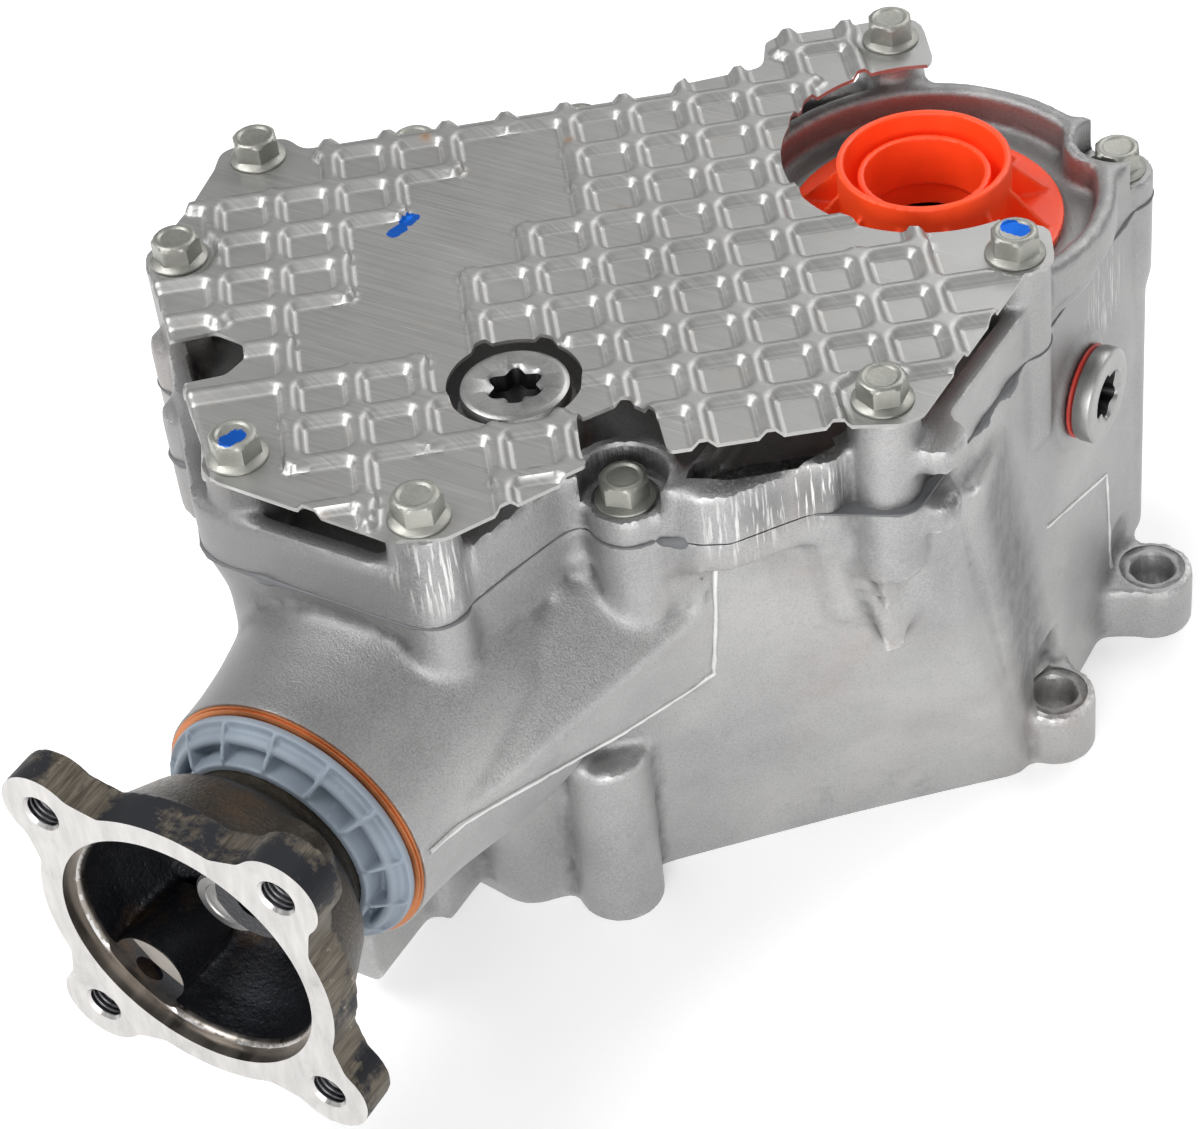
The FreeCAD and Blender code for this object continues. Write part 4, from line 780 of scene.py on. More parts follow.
def cast_skin(name, work, slot, body, replaced, voxel, rounds, most_faces):
    """Melts all forms of a mesh into one soft skin, with no more triangles than a limit."""
    item = make_piece(name, work, slot, body, replaced)
    skin = item.modifiers.new("skin", "REMESH")
    skin.mode = "VOXEL"
    skin.voxel_size = voxel
    soft = item.modifiers.new("soft", "SMOOTH")
    soft.factor = 0.5
    soft.iterations = rounds
    settle(item)
    ratio = most_faces / (2 * len(item.data.polygons))
    if ratio < 1.0:
        fewer = item.modifiers.new("fewer", "DECIMATE")
        fewer.ratio = ratio
        settle(item)
    return item


def push(work, axis, value, shift):
    """Moves the points of a machined face outward, for a later cut."""
    same_plane = 2e-5
    for vert in work.verts:
        if abs(vert.co[axis] - value) < same_plane:
            vert.co[axis] += shift


print("castings keep", face_margin * 1000, "mm on machined faces until the last cut")

# %% [markdown]
# More forms are added to a casting as closed meshes that overlap it, because the remesh joins whatever
# overlaps. A hull needs only corner points. The space round the front column is cut out before the remesh,
# so that the cut's edges melt as well.

# %% Forms that join a casting


def in_metres(points):
    """Points that were written in millimetres."""
    return [tuple(value / 1000 for value in point) for point in points]


def add_hull(work, points):
    """Adds the closed convex form round some points in millimetres."""
    made = [work.verts.new(point) for point in in_metres(points)]
    hull = bmesh.ops.convex_hull(work, input=made)
    inner = [item for item in hull["geom_interior"] if isinstance(item, bmesh.types.BMVert)]
    bmesh.ops.delete(work, geom=inner, context="VERTS")


def add_solid(work, other):
    """Adds another closed form and frees it."""
    mesh = bpy.data.meshes.new("part")
    other.to_mesh(mesh)
    other.free()
    work.from_mesh(mesh)
    bpy.data.meshes.remove(mesh)


def relieve(work, low, high):
    """Cuts the wall away round the front column, between two heights."""
    mesh = bpy.data.meshes.new("relief")
    work.to_mesh(mesh)
    item = bpy.data.objects.new("relief", mesh)
    bpy.context.scene.collection.objects.link(item)
    carve(item, prism(in_metres(column_relief), low, high))
    work.clear()
    work.from_mesh(item.data)
    spent = item.data
    bpy.data.objects.remove(item)
    bpy.data.meshes.remove(spent)


print("one millimetre is", in_metres([(1,)])[0][0], "metres")

# %% [markdown]
# Stiffening ribs follow a skin. Each line is walked in short steps, every step is dropped onto the nearest
# place of the skin, and a small hull joins it to the next. The first and last steps are lower, so that a
# rib runs out instead of ending in a wall.

# %% Ribs that follow a skin
rib_spacing = 0.006
rib_root = 0.003
rib_spread = 1.8
fading_steps = 3


def surface_of(item):
    """The skin of a piece as a tree that finds its nearest place."""
    work = bmesh.new()
    work.from_mesh(item.data)
    tree = BVHTree.FromBMesh(work)
    work.free()
    return tree


def between(points, spacing):
    """More points along straight runs, so that a line can follow a skin."""
    result = []
    for start, end in zip(points, points[1:]):
        steps = max(1, round((end - start).length / spacing))
        result += [start.lerp(end, step / steps) for step in range(steps)]
    return result + [points[-1]]


def add_ribs(work, skin, lines, height, half):
    """Stiffening ribs that follow a skin along lines and fade out at both ends."""
    for line in lines:
        rows = []
        points = between([Vector(point) for point in in_metres(line)], rib_spacing)
        for i, point in enumerate(points):
            place, normal, _, _ = skin.find_nearest(point)
            to_end = min(i, len(points) - 1 - i)
            rows.append((place, normal, min(1.0, to_end / fading_steps)))
        for first, last in zip(rows, rows[1:]):
            side = (last[0] - first[0]).cross(first[1]).normalized() * half
            made = []
            for place, normal, fade in (first, last):
                low, high = place - normal * rib_root, place + normal * height * fade
                root = side * rib_spread
                made += [work.verts.new(spot) for spot in (low + root, low - root, high + side, high - side)]
            bmesh.ops.convex_hull(work, input=made)


print("ribs fade out over", fading_steps, "steps of", rib_spacing * 1000, "mm")

# %% [markdown]
# The solid model has the case's walls, bosses and ears. A founder's pattern has more: walls that lean back
# to draw from the sand, a rib that runs out under a column, and fills in the corners. Most of these are
# convex, so a few corner points and a convex hull describe each one.

# %% Forms of the case
ears = ((0.0565, -0.036), (0.062, 0.029), (-0.042, 0.070), (-0.122, 0.006))
ear_height = 0.0195
ear_bore = 0.00685
spot_radius = 0.0105
spot_sink = 0.0004
spot_rise = 0.0009
bore_rise = 0.0007
far = 1.0
neck_place = Matrix.Translation((-0.077, 0.0, 0.097)) @ Matrix.Rotation(math.radians(90.0), 4, "X")
neck_end = -0.239
front_column = (0.038, -0.1045)
column_radius = 0.010
column_foot = 0.122
wall_foot = 0.138
strip_foot = 0.139
case_relief = (0.086, 0.170)
small_ear_top = 0.148

# Plans in millimetres: the space cut free round the front column and the wall behind it
column_relief = ((29.0, -130.0), (31.0, -113.5), (38.0, -105.0), (47.0, -97.5), (50.5, -88.0), (70.0, -88.0),
                 (70.0, -130.0))
column_wall = ((24.0, -123.0), (31.0, -113.5), (38.0, -105.0), (47.0, -97.5), (50.5, -88.0), (44.0, -84.0),
               (33.0, -98.0), (20.0, -116.0))
# Stiffening ribs on the rear walls, which the photograph does not show, as runs of points
side_ribs = (((-60, 38, 8), (-60, 38, 154)), ((-84, 20, 8), (-84, 20, 154)), ((-104, 4, 8), (-104, 4, 120)),
             ((-140, -24, 32), (-140, -24, 120)), ((-38, 55, 78), (-60, 37, 78), (-160, -40, 78)),
             ((8, 53, 8), (8, 53, 154)))
# Plans of the recess in the cover's rim and of the strip along the front
rim_recess = ((-3.0, -141.0), (7.0, -136.5), (22.0, -124.5), (27.5, -113.0), (22.0, -106.0), (2.0, -120.0),
              (-6.0, -132.0))
front_strip = ((-8.0, -147.5), (2.0, -146.5), (10.0, -142.5), (19.0, -130.0), (31.0, -114.0), (24.0, -110.0),
               (4.0, -130.0), (-8.0, -138.0))

# Closed forms that grow out of the case, as their corners in millimetres
case_forms = {
    "wall that leans back from the parting line": (
        (24, -122, 140), (31, -113, 140), (38, -104.5, 140), (47, -97, 140), (50, -88, 140), (20, -116, 140),
        (40, -88, 140), (24, -112, 100), (34, -98, 100), (46, -84, 100), (20, -108, 100), (40, -82, 100)),
    "rib below the front column": (
        (36, -110, 126), (40, -110, 126), (38, -113, 126), (38, -98, 126), (38, -106.5, 98), (36, -98, 98),
        (40, -98, 98)),
    "fill left of the front pocket": (
        (-40, -152, 147), (-22, -154, 147), (-22, -140, 147), (-40, -142, 147), (-38, -152, 122),
        (-24, -152, 116), (-22, -140, 112), (-40, -142, 120)),
    "boss on that fill": (
        (-38, -155, 141), (-30, -156, 141), (-30, -148, 141), (-38, -148, 141), (-37, -153, 120),
        (-31, -153, 120), (-31, -146, 114), (-37, -146, 114)),
    "fill right of the front pocket": (
        (-14, -146, 146), (2, -145, 146), (-6, -132, 146), (-18, -136, 146), (-16, -142, 112),
        (-3, -138, 108), (-6, -132, 108), (-18, -136, 112)),
    "web from the front wall to the neck": (
        (-6, -132, 86), (-1, -137, 120), (-36, -226, 99), (-31, -185, 118), (-34, -160, 134), (-45, -150, 90),
        (-50, -220, 97), (-30, -148, 74), (-33, -200, 86)),
    "sharp corner above the front ear": (
        (43, -99, 139), (55.5, -84, 139), (52, -60, 139), (44, -70, 139), (36, -76, 23), (55.0, -53.5, 22),
        (51.5, -38, 22), (42, -50, 23)),
    "wall behind the front ear's bolt head": (
        (43.5, -52, 16), (48.5, -52, 16), (43.5, -20, 16), (48, -20, 16), (43.5, -52, 40), (48.5, -52, 40),
        (43.5, -20, 40), (48, -20, 40)),
}
print("forms added to the case:", ", ".join(case_forms))

# %% [markdown]
# The case's own mesh and all these forms overlap until the remesh makes one skin of them. Then the three
# machined faces are cut flat, and every ear gets its spot face and its bore.

# %% Case


def make_case():
    work = merged("main_case")
    push(work, 2, 0.0, -face_margin)
    push(work, 2, case_parting, face_margin)
    push(work, 1, neck_end, -face_margin)
    relieve(work, *case_relief)
    top = case_parting + face_margin
    add_solid(work, prism(in_metres(column_wall), wall_foot, top))
    add_solid(work, prism(in_metres(front_strip), strip_foot, top))
    add_solid(work, rod(column_radius, column_foot, top, (*front_column, 0)))
    # A small ear at the parting line, beside the front column
    add_solid(work, rod(0.0075, wall_foot, small_ear_top, (0.0495, -0.0985, 0)))
    for corners in case_forms.values():
        add_hull(work, corners)
    add_ribs(work, surface_of(nodes["main_case"]), side_ribs, height=0.004, half=0.0019)
    case = cast_skin("cast_case", work, "cast_aluminium", "housing", ["main_case"],
                     voxel=0.0019, rounds=5, most_faces=150000)
    carve(case, block((-far, -far, -far), (far, far, 0.0)))
    carve(case, block((-far, -far, case_parting), (far, far, far)))
    carve(case, block((-far, -far, -far), (far, neck_end, far)))
    for x, y in ears:
        carve(case, rod(spot_radius, ear_height - spot_sink, ear_height + spot_rise, (x, y, 0)))
        carve(case, rod(ear_bore, -face_margin, ear_height + bore_rise, (x, y, 0)))
    smooth_shade(case, 40.0)
    return case


case = make_case()
print("case faces:", len(case.data.polygons))

# %% [markdown]
# The cover is cast and finished the same way. Its lower edge and the tops of its columns are machined, and
# each bolt that holds the cover alone sits on a spot face in a round pocket.

# %% Cover
cover_low = 0.1505
column_top = 0.1798
rim_top = 0.168
strip_top = rim_top - 0.001
cover_relief = (0.140, 0.200)
small_ear_foot = 0.160
cover_bolt_seat = 0.159
pocket_radius = 0.0124
pocket_floor = cover_bolt_seat + 0.0004
pocket_top = 0.175
seat_radius = 0.0094
seat_sink = 0.0001
seat_rise = 0.004
recess_floor = 0.157
cutter_top = 0.19
cover_bolt_places = ((-0.0200, -0.1455), (0.0415, 0.0450), (-0.1600, -0.0300), (-0.1180, -0.0005))


def make_cover():
    work = merged("side_cover")
    push(work, 2, column_top, face_margin)
    push(work, 2, cover_low, -face_margin)
    relieve(work, *cover_relief)
    low = cover_low - face_margin
    add_solid(work, prism(in_metres(column_wall), low, rim_top))
    add_solid(work, prism(in_metres(front_strip), low, strip_top))
    add_solid(work, rod(column_radius, low, column_top + face_margin, (*front_column, 0)))
    # The ear beside the front column goes on above the parting line
    add_solid(work, rod(0.0085, small_ear_foot, rim_top, (0.050, -0.098, 0)))
    cover = cast_skin("cast_cover", work, "cast_aluminium", "housing", ["side_cover"],
                      voxel=0.0016, rounds=4, most_faces=150000)
    carve(cover, block((-far, -far, column_top), (far, far, far)))
    carve(cover, block((-far, -far, -far), (far, far, cover_low)))
    carve(cover, prism(in_metres(rim_recess), recess_floor, cutter_top))
    for x, y in cover_bolt_places:
        carve(cover, rod(pocket_radius, pocket_floor, pocket_top, (x, y, 0)))
        carve(cover, rod(seat_radius, cover_bolt_seat - seat_sink, cover_bolt_seat + seat_rise, (x, y, 0)))
    smooth_shade(cover, 40.0)
    return cover


cover = make_cover()
print("cover faces:", len(cover.data.polygons))

# %% [markdown]
# The halves of a sand mould leave a thin bead where they meet. One bead runs down the front wall and along
# the web to the neck, and a finer one crosses the right side. Each of their points is dropped onto the
# nearest place of the skin.

# %% Parting beads
bead_line = ((3.1, -138.3, 147.0), (1.0, -137.2, 134.0), (-1.2, -135.9, 120.3), (-3.5, -134.3, 104.0),
             (-5.7, -132.9, 88.1), (-10.4, -137.0, 87.5), (-23.0, -165.0, 90.0), (-29.0, -190.0, 94.0),
             (-34.0, -214.5, 97.0), (-37.0, -236.0, 100.0))
side_bead_line = ((51.5, -29.1, 79.6), (51.5, -6.1, 72.0), (51.5, 17.1, 63.9), (51.5, 20.2, 30.1),
                  (51.5, 21.2, 22.0))


def add_tube(work, path, radii, flat=1.0, closed=False, sides=8):
    """A tube of changing radius along points, whose width is its height times a share."""
    loops = []
    count = len(path)
    for i, here in enumerate(path):
        before = path[i - 1] if closed or i else here
        after = path[(i + 1) % count] if closed or i < count - 1 else here
        along = (after - before).normalized()
        across = along.cross(Vector((0, 0, 1)))
        if across.length < 0.1:
            across = Vector((0.7, -0.7, 0.0))
        across.normalize()
        upright = across.cross(along)
        loop = []
        for step in range(sides):
            angle = math.tau * step / sides
            out = across * math.cos(angle) * flat + upright * math.sin(angle)
            loop.append(work.verts.new(here + out * radii[i]))
        loops.append(loop)
    pairs = list(zip(loops, loops[1:]))
    if closed:
        pairs.append((loops[-1], loops[0]))
    for low, high in pairs:
        for step in range(sides):
            after = (step + 1) % sides
            work.faces.new((low[step], high[step], high[after], low[after]))
    if not closed:
        work.faces.new(loops[0])
        work.faces.new(list(reversed(loops[-1])))


def make_beads():
    skin = surface_of(case)
    random.seed(21)
    work = bmesh.new()
    for line, radius in ((bead_line, 0.0008), (side_bead_line, 0.0005)):
        path = []
        for point in between([Vector(point) for point in in_metres(line)], 0.003):
            place, normal, _, _ = skin.find_nearest(point)
            path.append(place + normal * 0.0001)
        add_tube(work, path, [radius + random.uniform(-0.0001, 0.0002) for _ in path])
    bead = make_piece("parting_bead", work, "cast_aluminium", "housing")
    bead.data.materials[0] = finishes["scraped"]
    smooth_shade(bead, 60.0)
    return bead


print("bead points:", len(make_beads().data.vertices))

# %% [markdown]
# Grey sealant was pressed out of the joint when the bolts drew the halves together. It is a tube along the
# joint's outline, whose radius wanders with a noise, and it bulges where the real one does.

# %% Squeezed sealant
squeeze_places = ((-0.004, -0.146, 3.6), (0.009, -0.142, 2.8), (0.049, -0.052, 4.0), (0.050, -0.068, 3.0),
                  (-0.123, -0.206, 2.2), (-0.100, -0.206, 2.6), (-0.150, -0.172, 2.0), (0.047, 0.030, 2.0))
bulge_reach = 0.006
usual_radius = 0.0007


def outer_loop(node, height):
    """The outermost edge loop of a flat solid at a height, as ordered points."""
    same_height = 1e-6
    work = merged(node)
    edges = {}
    for edge in work.edges:
        if all(abs(vert.co.z - height) < same_height for vert in edge.verts):
            upright = [abs(face.normal.z) < 0.5 for face in edge.link_faces]
            if len(upright) == 2 and upright[0] != upright[1]:
                for vert, other in (edge.verts, reversed(edge.verts)):
                    edges.setdefault(vert, []).append(other)
    loops = []
    while edges:
        start = next(iter(edges))
        loop = [start]
        following = edges.pop(start)[0]
        while following in edges:
            loop.append(following)
            ways = edges.pop(following)
            following = next((way for way in ways if way in edges), start)
        loops.append([vert.co.copy() for vert in loop])
    work.free()
    return max(loops, key=lambda loop: sum((b - a).length for a, b in zip(loop, loop[1:])))


def make_sealant():
    outline = outer_loop("cover_sealant", cover_low)
    outline = between(outline + outline[:1], 0.0012)[:-1]
    area = sum(a.x * b.y - b.x * a.y for a, b in zip(outline, outline[1:] + outline[:1]))
    if area < 0:
        outline.reverse()
    path, radii = [], []
    for point in outline:
        swell = 0.55 + 0.5 * noise.noise(point * 90.0) + 0.35 * noise.noise(point * 300.0)
        for x, y, size in squeeze_places:
            gap = math.hypot(point.x - x, point.y - y)
            swell += (size - 1.0) * math.exp(-(gap / bulge_reach) ** 2)
        radius = usual_radius * max(0.45, swell) * (1.0 + 0.35 * noise.noise(point * 700.0))
        wander = 0.0004 * noise.noise(point * 60.0 + Vector((9, 2, 4)))
        sag = 0.35 * max(0.0, radius - 0.0012)
        path.append(point + Vector((0, 0, wander - sag - 0.0003)))
        radii.append(radius)
    work = bmesh.new()
    add_tube(work, path, radii, 0.9, closed=True)
    bmesh.ops.recalc_face_normals(work, faces=work.faces)
    squeeze = make_piece("squeezed_sealant", work, "sealant", "housing")
    smooth_shade(squeeze, 60.0)
    return squeeze


print("sealant points:", len(make_sealant().data.vertices))

# %% [markdown]
# A flange bolt is a hexagon that grows out of its own washer. Rings with a radius that follows the
# hexagon, clipped by a cone at the top, give the six flats and the curved chamfer where they meet.

# %% Bolts
hex_half = 0.0063
washer_radius = 0.0086
thread_radius = 0.004
shield_bolt_length = 0.053
cover_bolt_length = 0.027


def hexagon(limit):
    """The radius of a hexagon at an angle, no more than a limit."""
    def reach(angle):
        return min(limit, hex_half / math.cos((angle % (math.pi / 3)) - math.pi / 6))
    return reach


def add_bolt(work, x, y, seat, length, turn):
    """A flange bolt from the tip of its thread to the dished top of its head."""
    rings = ((-length, thread_radius - 0.0006), (-length + 0.0008, thread_radius), (0.0, thread_radius),
             (0.0, washer_radius - 0.0002), (0.0003, washer_radius), (0.0008, washer_radius - 0.0001),
             (0.0012, washer_radius - 0.0006), (0.0018, hexagon(0.0074)), (0.0023, hexagon(0.0072)),
             (0.0064, hexagon(0.0072)), (0.0070, hexagon(0.00705)), (0.0077, hexagon(0.0064)),
             (0.0081, 0.0058), (0.0082, 0.0052), (0.0081, 0.0047), (0.0077, 0.0041), (0.0076, 0.0012))
    place = Matrix.Translation((x, y, seat)) @ Matrix.Rotation(math.radians(turn), 4, "Z")
    lathe(work, rings, 72, place)


def make_bolts(name, places, seat, length, node, seed):
    random.seed(seed)
    work = bmesh.new()
    for x, y in places:
        add_bolt(work, x, y, seat, length, random.uniform(0.0, 60.0))
    item = make_piece(name, work, "zinc_plate", "housing", [node])
    smooth_shade(item, 28.0)
    return item


make_bolts("long_bolts", shield_bolt_places, shield_top, shield_bolt_length, "shield_bolts", 3)
make_bolts("short_bolts", cover_bolt_places, cover_bolt_seat, cover_bolt_length, "cover_bolts", 8)
print("bolts:", len(shield_bolt_places) + len(cover_bolt_places))

# %% [markdown]
# Two screw plugs close the filler and the drain. A plug is a broad flat head with a lobed socket, and a
# red ring is squeezed under it. The socket is made of rings whose radius waves six times round.

# %% Plugs and their rings
plug_seat = 0.1745
plug_thread = 0.0109
socket_reach = 0.0081
socket_depth = 0.0072
ring_section = 0.00075
ring_squash = 1.9
drain_place = Matrix.Translation((0.054, -0.004, 0.114)) @ Matrix.Rotation(math.radians(90.0), 4, "Y")
fill_place = Matrix.Translation((*fill_plug_place, plug_seat))


def lobed(radius, wave):
    """A radius that waves six times round."""
    def reach(angle):
        return radius + wave * math.cos(6 * angle)
    return reach


def make_plug(name, place, head, height, node):
    work = bmesh.new()
    lathe(work, ((-0.014, 0.0100), (-0.013, plug_thread), (-0.0002, plug_thread), (0.0, head - 0.0012),
                 (0.0006, head - 0.0004), (0.0016, head), (height - 0.0014, head),
                 (height - 0.0006, head - 0.0003), (height - 0.0001, head - 0.0011), (height, head - 0.0019),
                 (height, 0.0086), (height - 0.0006, lobed(0.0076, 0.0006)),
                 (height - 0.0010, lobed(0.0069, 0.0011)), (height - 0.0062, lobed(0.0064, 0.0010)),
                 (height - 0.0066, lobed(0.0045, 0.0004)), (height - socket_depth, 0.0010)), 96, place)
    item = make_piece(name, work, "plug_steel", "housing", [node])
    # The faces of the socket get near-black painted shade of their own
    item.data.materials.append(finishes["socket"])
    back = place.inverted()
    for face in item.data.polygons:
        centre = back @ face.center
        if -0.003 < centre.z < height - 0.0011 and math.hypot(centre.x, centre.y) < socket_reach:
            face.material_index = 1
    smooth_shade(item, 30.0)


def make_ring(name, place, radius, node):
    """A red rubber ring, squeezed to nearly twice its height in width."""
    work = bmesh.new()
    path = [polar(radius, math.tau * step / 96) for step in range(96)]
    add_tube(work, path, [ring_section] * len(path), ring_squash, closed=True, sides=12)
    bmesh.ops.recalc_face_normals(work, faces=work.faces)
    bmesh.ops.transform(work, matrix=place, verts=work.verts)
    item = make_piece(name, work, "red_rubber", "housing", [node])
    smooth_shade(item, 80.0)


make_plug("filler_plug", fill_place, 0.0154, 0.006, "fill_plug")
make_plug("drain_screw", drain_place, 0.0147, 0.0062, "drain_plug")
down = Matrix.Translation((0, 0, -ring_section))
make_ring("filler_ring", fill_place @ down, 0.0132, "fill_plug_seal")
make_ring("drain_ring", drain_place @ down, 0.0131, "drain_plug_seal")
print("plugs and rings: 4")

# %% [markdown]
# The output flange is a rough iron casting that has been turned in a few places. Its cup and rim keep the
# casting skin, the edge was sawn, and the face, the step of the pilot and the four ears are bright. Two
# half-round lands inside the cup carry puller holes.

# %% Finishes of the flange


def bright_face(name, colour):
    """A turned face: sweeping tool marks and dull patches."""
    finish = Finish(name, colour, 0.3, 1.0)
    sweep = finish.noise(1.0, 3.0, 0.6, finish.mapped((260.0, 20.0, 60.0), (0, 35, 0)))
    patch = finish.noise(70.0, 4.0, 0.7)
    tone = finish.mix(finish.window(sweep, 0.35, 0.7), tinted(colour, 0.78), colour)
    tone = finish.mix(finish.window(patch, 0.58, 0.75, 0.0, 0.5), tone, tinted(colour, 0.5))
    rough = finish.window(sweep, 0.3, 0.7, 0.24, 0.42)
    return finish.done(tone, rough, finish.bump(sweep, 0.00005))


def sawn_rim(name):
    """Brown skin with saw lines that run along the part's thickness, and dark scale between them."""
    finish = Finish(name, (0.2, 0.16, 0.12), 0.5, 0.75)
    saw = finish.noise(1.0, 3.0, 0.7, finish.mapped((900.0, 60.0, 900.0)))
    scale = finish.noise(42.0, 5.0, 0.7)
    fine = finish.noise(900.0, 2.0)
    tone = finish.mix(finish.window(saw, 0.36, 0.72), (0.075, 0.062, 0.048), (0.2, 0.175, 0.14))
    tone = finish.mix(finish.window(scale, 0.46, 0.53), tone, (0.028, 0.029, 0.034))
    shiny = finish.window(finish.noise(55.0, 6.0, 0.8, finish.mapped(shift=(3, 1, 2))), 0.6, 0.64)
    tone = finish.mix(finish.calc("MULTIPLY", shiny, 0.7), tone, (0.4, 0.36, 0.3))
    rough = finish.window(scale, 0.3, 0.7, 0.42, 0.62)
    relief = finish.bump(saw, 0.00018)
    relief = finish.bump(fine, 0.00006, 0.6, relief)
    return finish.done(tone, rough, relief)


def dark_cast(name, dark, light, gloss):
    """Oily black casting skin with a coarse grain and a little rust."""
    finish = Finish(name, dark, gloss, 0.55)
    grain = finish.noise(620.0, 3.0, 0.7)
    drift = finish.noise(38.0, 4.0, 0.6)
    tone = finish.mix(finish.window(drift, 0.35, 0.65), dark, light)
    tone = finish.mix(finish.window(grain, 0.6, 0.76, 0.0, 0.7), tone, tinted(light, 2.4))
    rust = finish.window(finish.noise(26.0, 5.0, 0.7), 0.56, 0.68, 0.0, 0.55)
    tone = finish.mix(rust, tone, (0.10, 0.055, 0.022))
    rough = finish.window(grain, 0.3, 0.7, gloss * 0.75, gloss * 1.3)
    return finish.done(tone, rough, finish.bump(grain, 0.00042, 0.9))


def threaded(name):
    """The turns of a thread, as bands along the hole."""
    finish = Finish(name, (0.06, 0.06, 0.065), 0.38, 0.9)
    turns = finish.add("ShaderNodeTexWave", wave_type="BANDS", bands_direction="Y", wave_profile="SIN")
    turns.inputs["Scale"].default_value = 209.0
    finish.feed(turns.inputs["Vector"], finish.place)
    tone = finish.mix(turns.outputs["Fac"], (0.03, 0.03, 0.034), (0.16, 0.16, 0.17))
    return finish.done(tone, None, finish.bump(turns.outputs["Fac"], 0.0006))


finishes["bright_face"] = bright_face("bright_face", (0.62, 0.605, 0.59))
finishes["stained_step"] = bright_face("stained_step", (0.36, 0.33, 0.3))
finishes["sawn_rim"] = sawn_rim("sawn_rim")
finishes["dark_cast"] = dark_cast("dark_cast", (0.009, 0.010, 0.013), (0.022, 0.023, 0.028), 0.36)
finishes["oily_hub"] = dark_cast("oily_hub", (0.022, 0.018, 0.013), (0.055, 0.045, 0.032), 0.34)
finishes["threaded"] = threaded("threaded")
print("finishes:", len(finishes))

# %% [markdown]
# The flange's skin is made as the case's is, and the lathe and the drill come after it. Each face of the
# mesh is to get the finish of the tool that last touched it. So this cell names the places, and a function
# tells the tool from the distance to the axis and to the holes.

# %% Places on the flange
flange_face = 0.292
flange_back = 0.280
ear_circle = 0.053
ear_turn = 46.6
flange_hole = 0.005
pilot_radius = 0.0395
pilot_floor = 0.288
step_width = 0.0026
step_depth = 0.0022
hole_floor = 0.270
hole_mouth = 0.0064
puller_circle = 0.0312
puller_hole = 0.0044
puller_floor = 0.275
land_radius = 0.0112
land_foot = 0.262
cutter_end = 0.30
hole_bevel = 0.0018
rim_radius = 0.042
hub_radius = 0.020
# How far off a cut the middle of one of its faces may lie
slack = 0.0003
# The web at the root of an ear, seen along the axis
web_plan = ((0.0405, -0.0195), (0.053, -0.0116), (0.053, 0.0116), (0.0405, 0.0195))


def on_circle(radius, degrees):
    return polar(radius, math.radians(degrees))


ear_angles = [ear_turn + 90.0 * quarter for quarter in range(4)]
puller_angles = [ear_turn, ear_turn + 180.0]


def last_tool(centre, normal):
    """The finish that the last tool left at a place, in the flange's own axes."""
    radius = math.hypot(centre.x, centre.y)
    faces_out = normal.z > 0.7
    to_hole = min((centre.xy - on_circle(ear_circle, degrees).xy).length for degrees in ear_angles)
    to_puller = min((centre.xy - on_circle(puller_circle, degrees).xy).length for degrees in puller_angles)
    if to_hole < flange_hole + hole_bevel and centre.z > puller_floor:
        return "threaded" if to_hole < flange_hole + slack else "bright_face"
    if faces_out and centre.z > flange_face - 0.0004:
        return "bright_face"
    if centre.z > pilot_floor - step_depth - slack and radius < pilot_radius + slack:
        if to_puller < puller_hole + slack:
            return "dark_cast"
        return "bright_face" if faces_out and radius > pilot_radius - 0.0024 else "stained_step"
    if to_puller < land_radius + 0.0001 and normal.z > 0.6 and centre.z > flange_back:
        return "bright_face"
    in_rim = centre.z > flange_back - 0.0005
    if in_rim and radius > rim_radius:
        return "sawn_rim"
    outside = normal.x * centre.x + normal.y * centre.y > -0.0001
    return "oily_hub" if not in_rim and radius > hub_radius and outside else "dark_cast"


ear_face = on_circle(ear_circle + 0.009, ear_turn) + Vector((0, 0, flange_face))
print("the face of an ear is a", last_tool(ear_face, Vector((0, 0, 1))))

# %% [markdown]
# The cuts come in the order of the real machining: the face first, then the pilot and its step, then the
# threaded holes and the puller holes. After the last cut each face looks up its finish.

# %% Output flange


def make_flange():
    work = merged("output_flange")
    push(work, 1, -flange_face, -face_margin)
    for degrees in ear_angles:
        turn = Matrix.Rotation(math.radians(degrees), 4, "Z")
        web = prism(web_plan, flange_back, flange_face + face_margin)
        bmesh.ops.transform(web, matrix=neck_place @ turn, verts=web.verts)
        add_solid(work, web)
    for degrees in puller_angles:
        place = neck_place @ Matrix.Translation(on_circle(puller_circle, degrees))
        add_solid(work, rod(land_radius, land_foot, pilot_floor, turn=place, segments=48))
    flange = cast_skin("cast_flange", work, "cast_iron", "output", ["output_flange"],
                       voxel=0.0011, rounds=5, most_faces=120000)
    carve(flange, block((-far, -far, -far), (far, -flange_face, far)))
    for radius, floor in ((pilot_radius, pilot_floor), (pilot_radius - step_width, pilot_floor - step_depth)):
        carve(flange, rod(radius, floor, cutter_end, turn=neck_place, segments=160))
    for degrees in ear_angles:
        place = neck_place @ Matrix.Translation(on_circle(ear_circle, degrees))
        hole = bmesh.new()
        rings = ((hole_floor, flange_hole), (flange_face - 0.0009, flange_hole),
                 (flange_face + 0.0006, hole_mouth))
        lathe(hole, rings, 48, place)
        carve(flange, hole)
    for degrees in puller_angles:
        place = neck_place @ Matrix.Translation(on_circle(puller_circle, degrees))
        carve(flange, rod(puller_hole, puller_floor, cutter_end, turn=place, segments=48))
    paint_flange(flange)
    smooth_shade(flange, 38.0)
    return flange


def paint_flange(flange):
    order = ("dark_cast", "bright_face", "sawn_rim", "oily_hub", "threaded", "stained_step")
    flange.data.materials.clear()
    for name in order:
        flange.data.materials.append(finishes[name])
    back_to_neck = neck_place.inverted()
    turn_back = back_to_neck.to_3x3()
    for face in flange.data.polygons:
        tool = last_tool(back_to_neck @ face.center, turn_back @ face.normal)
        face.material_index = order.index(tool)


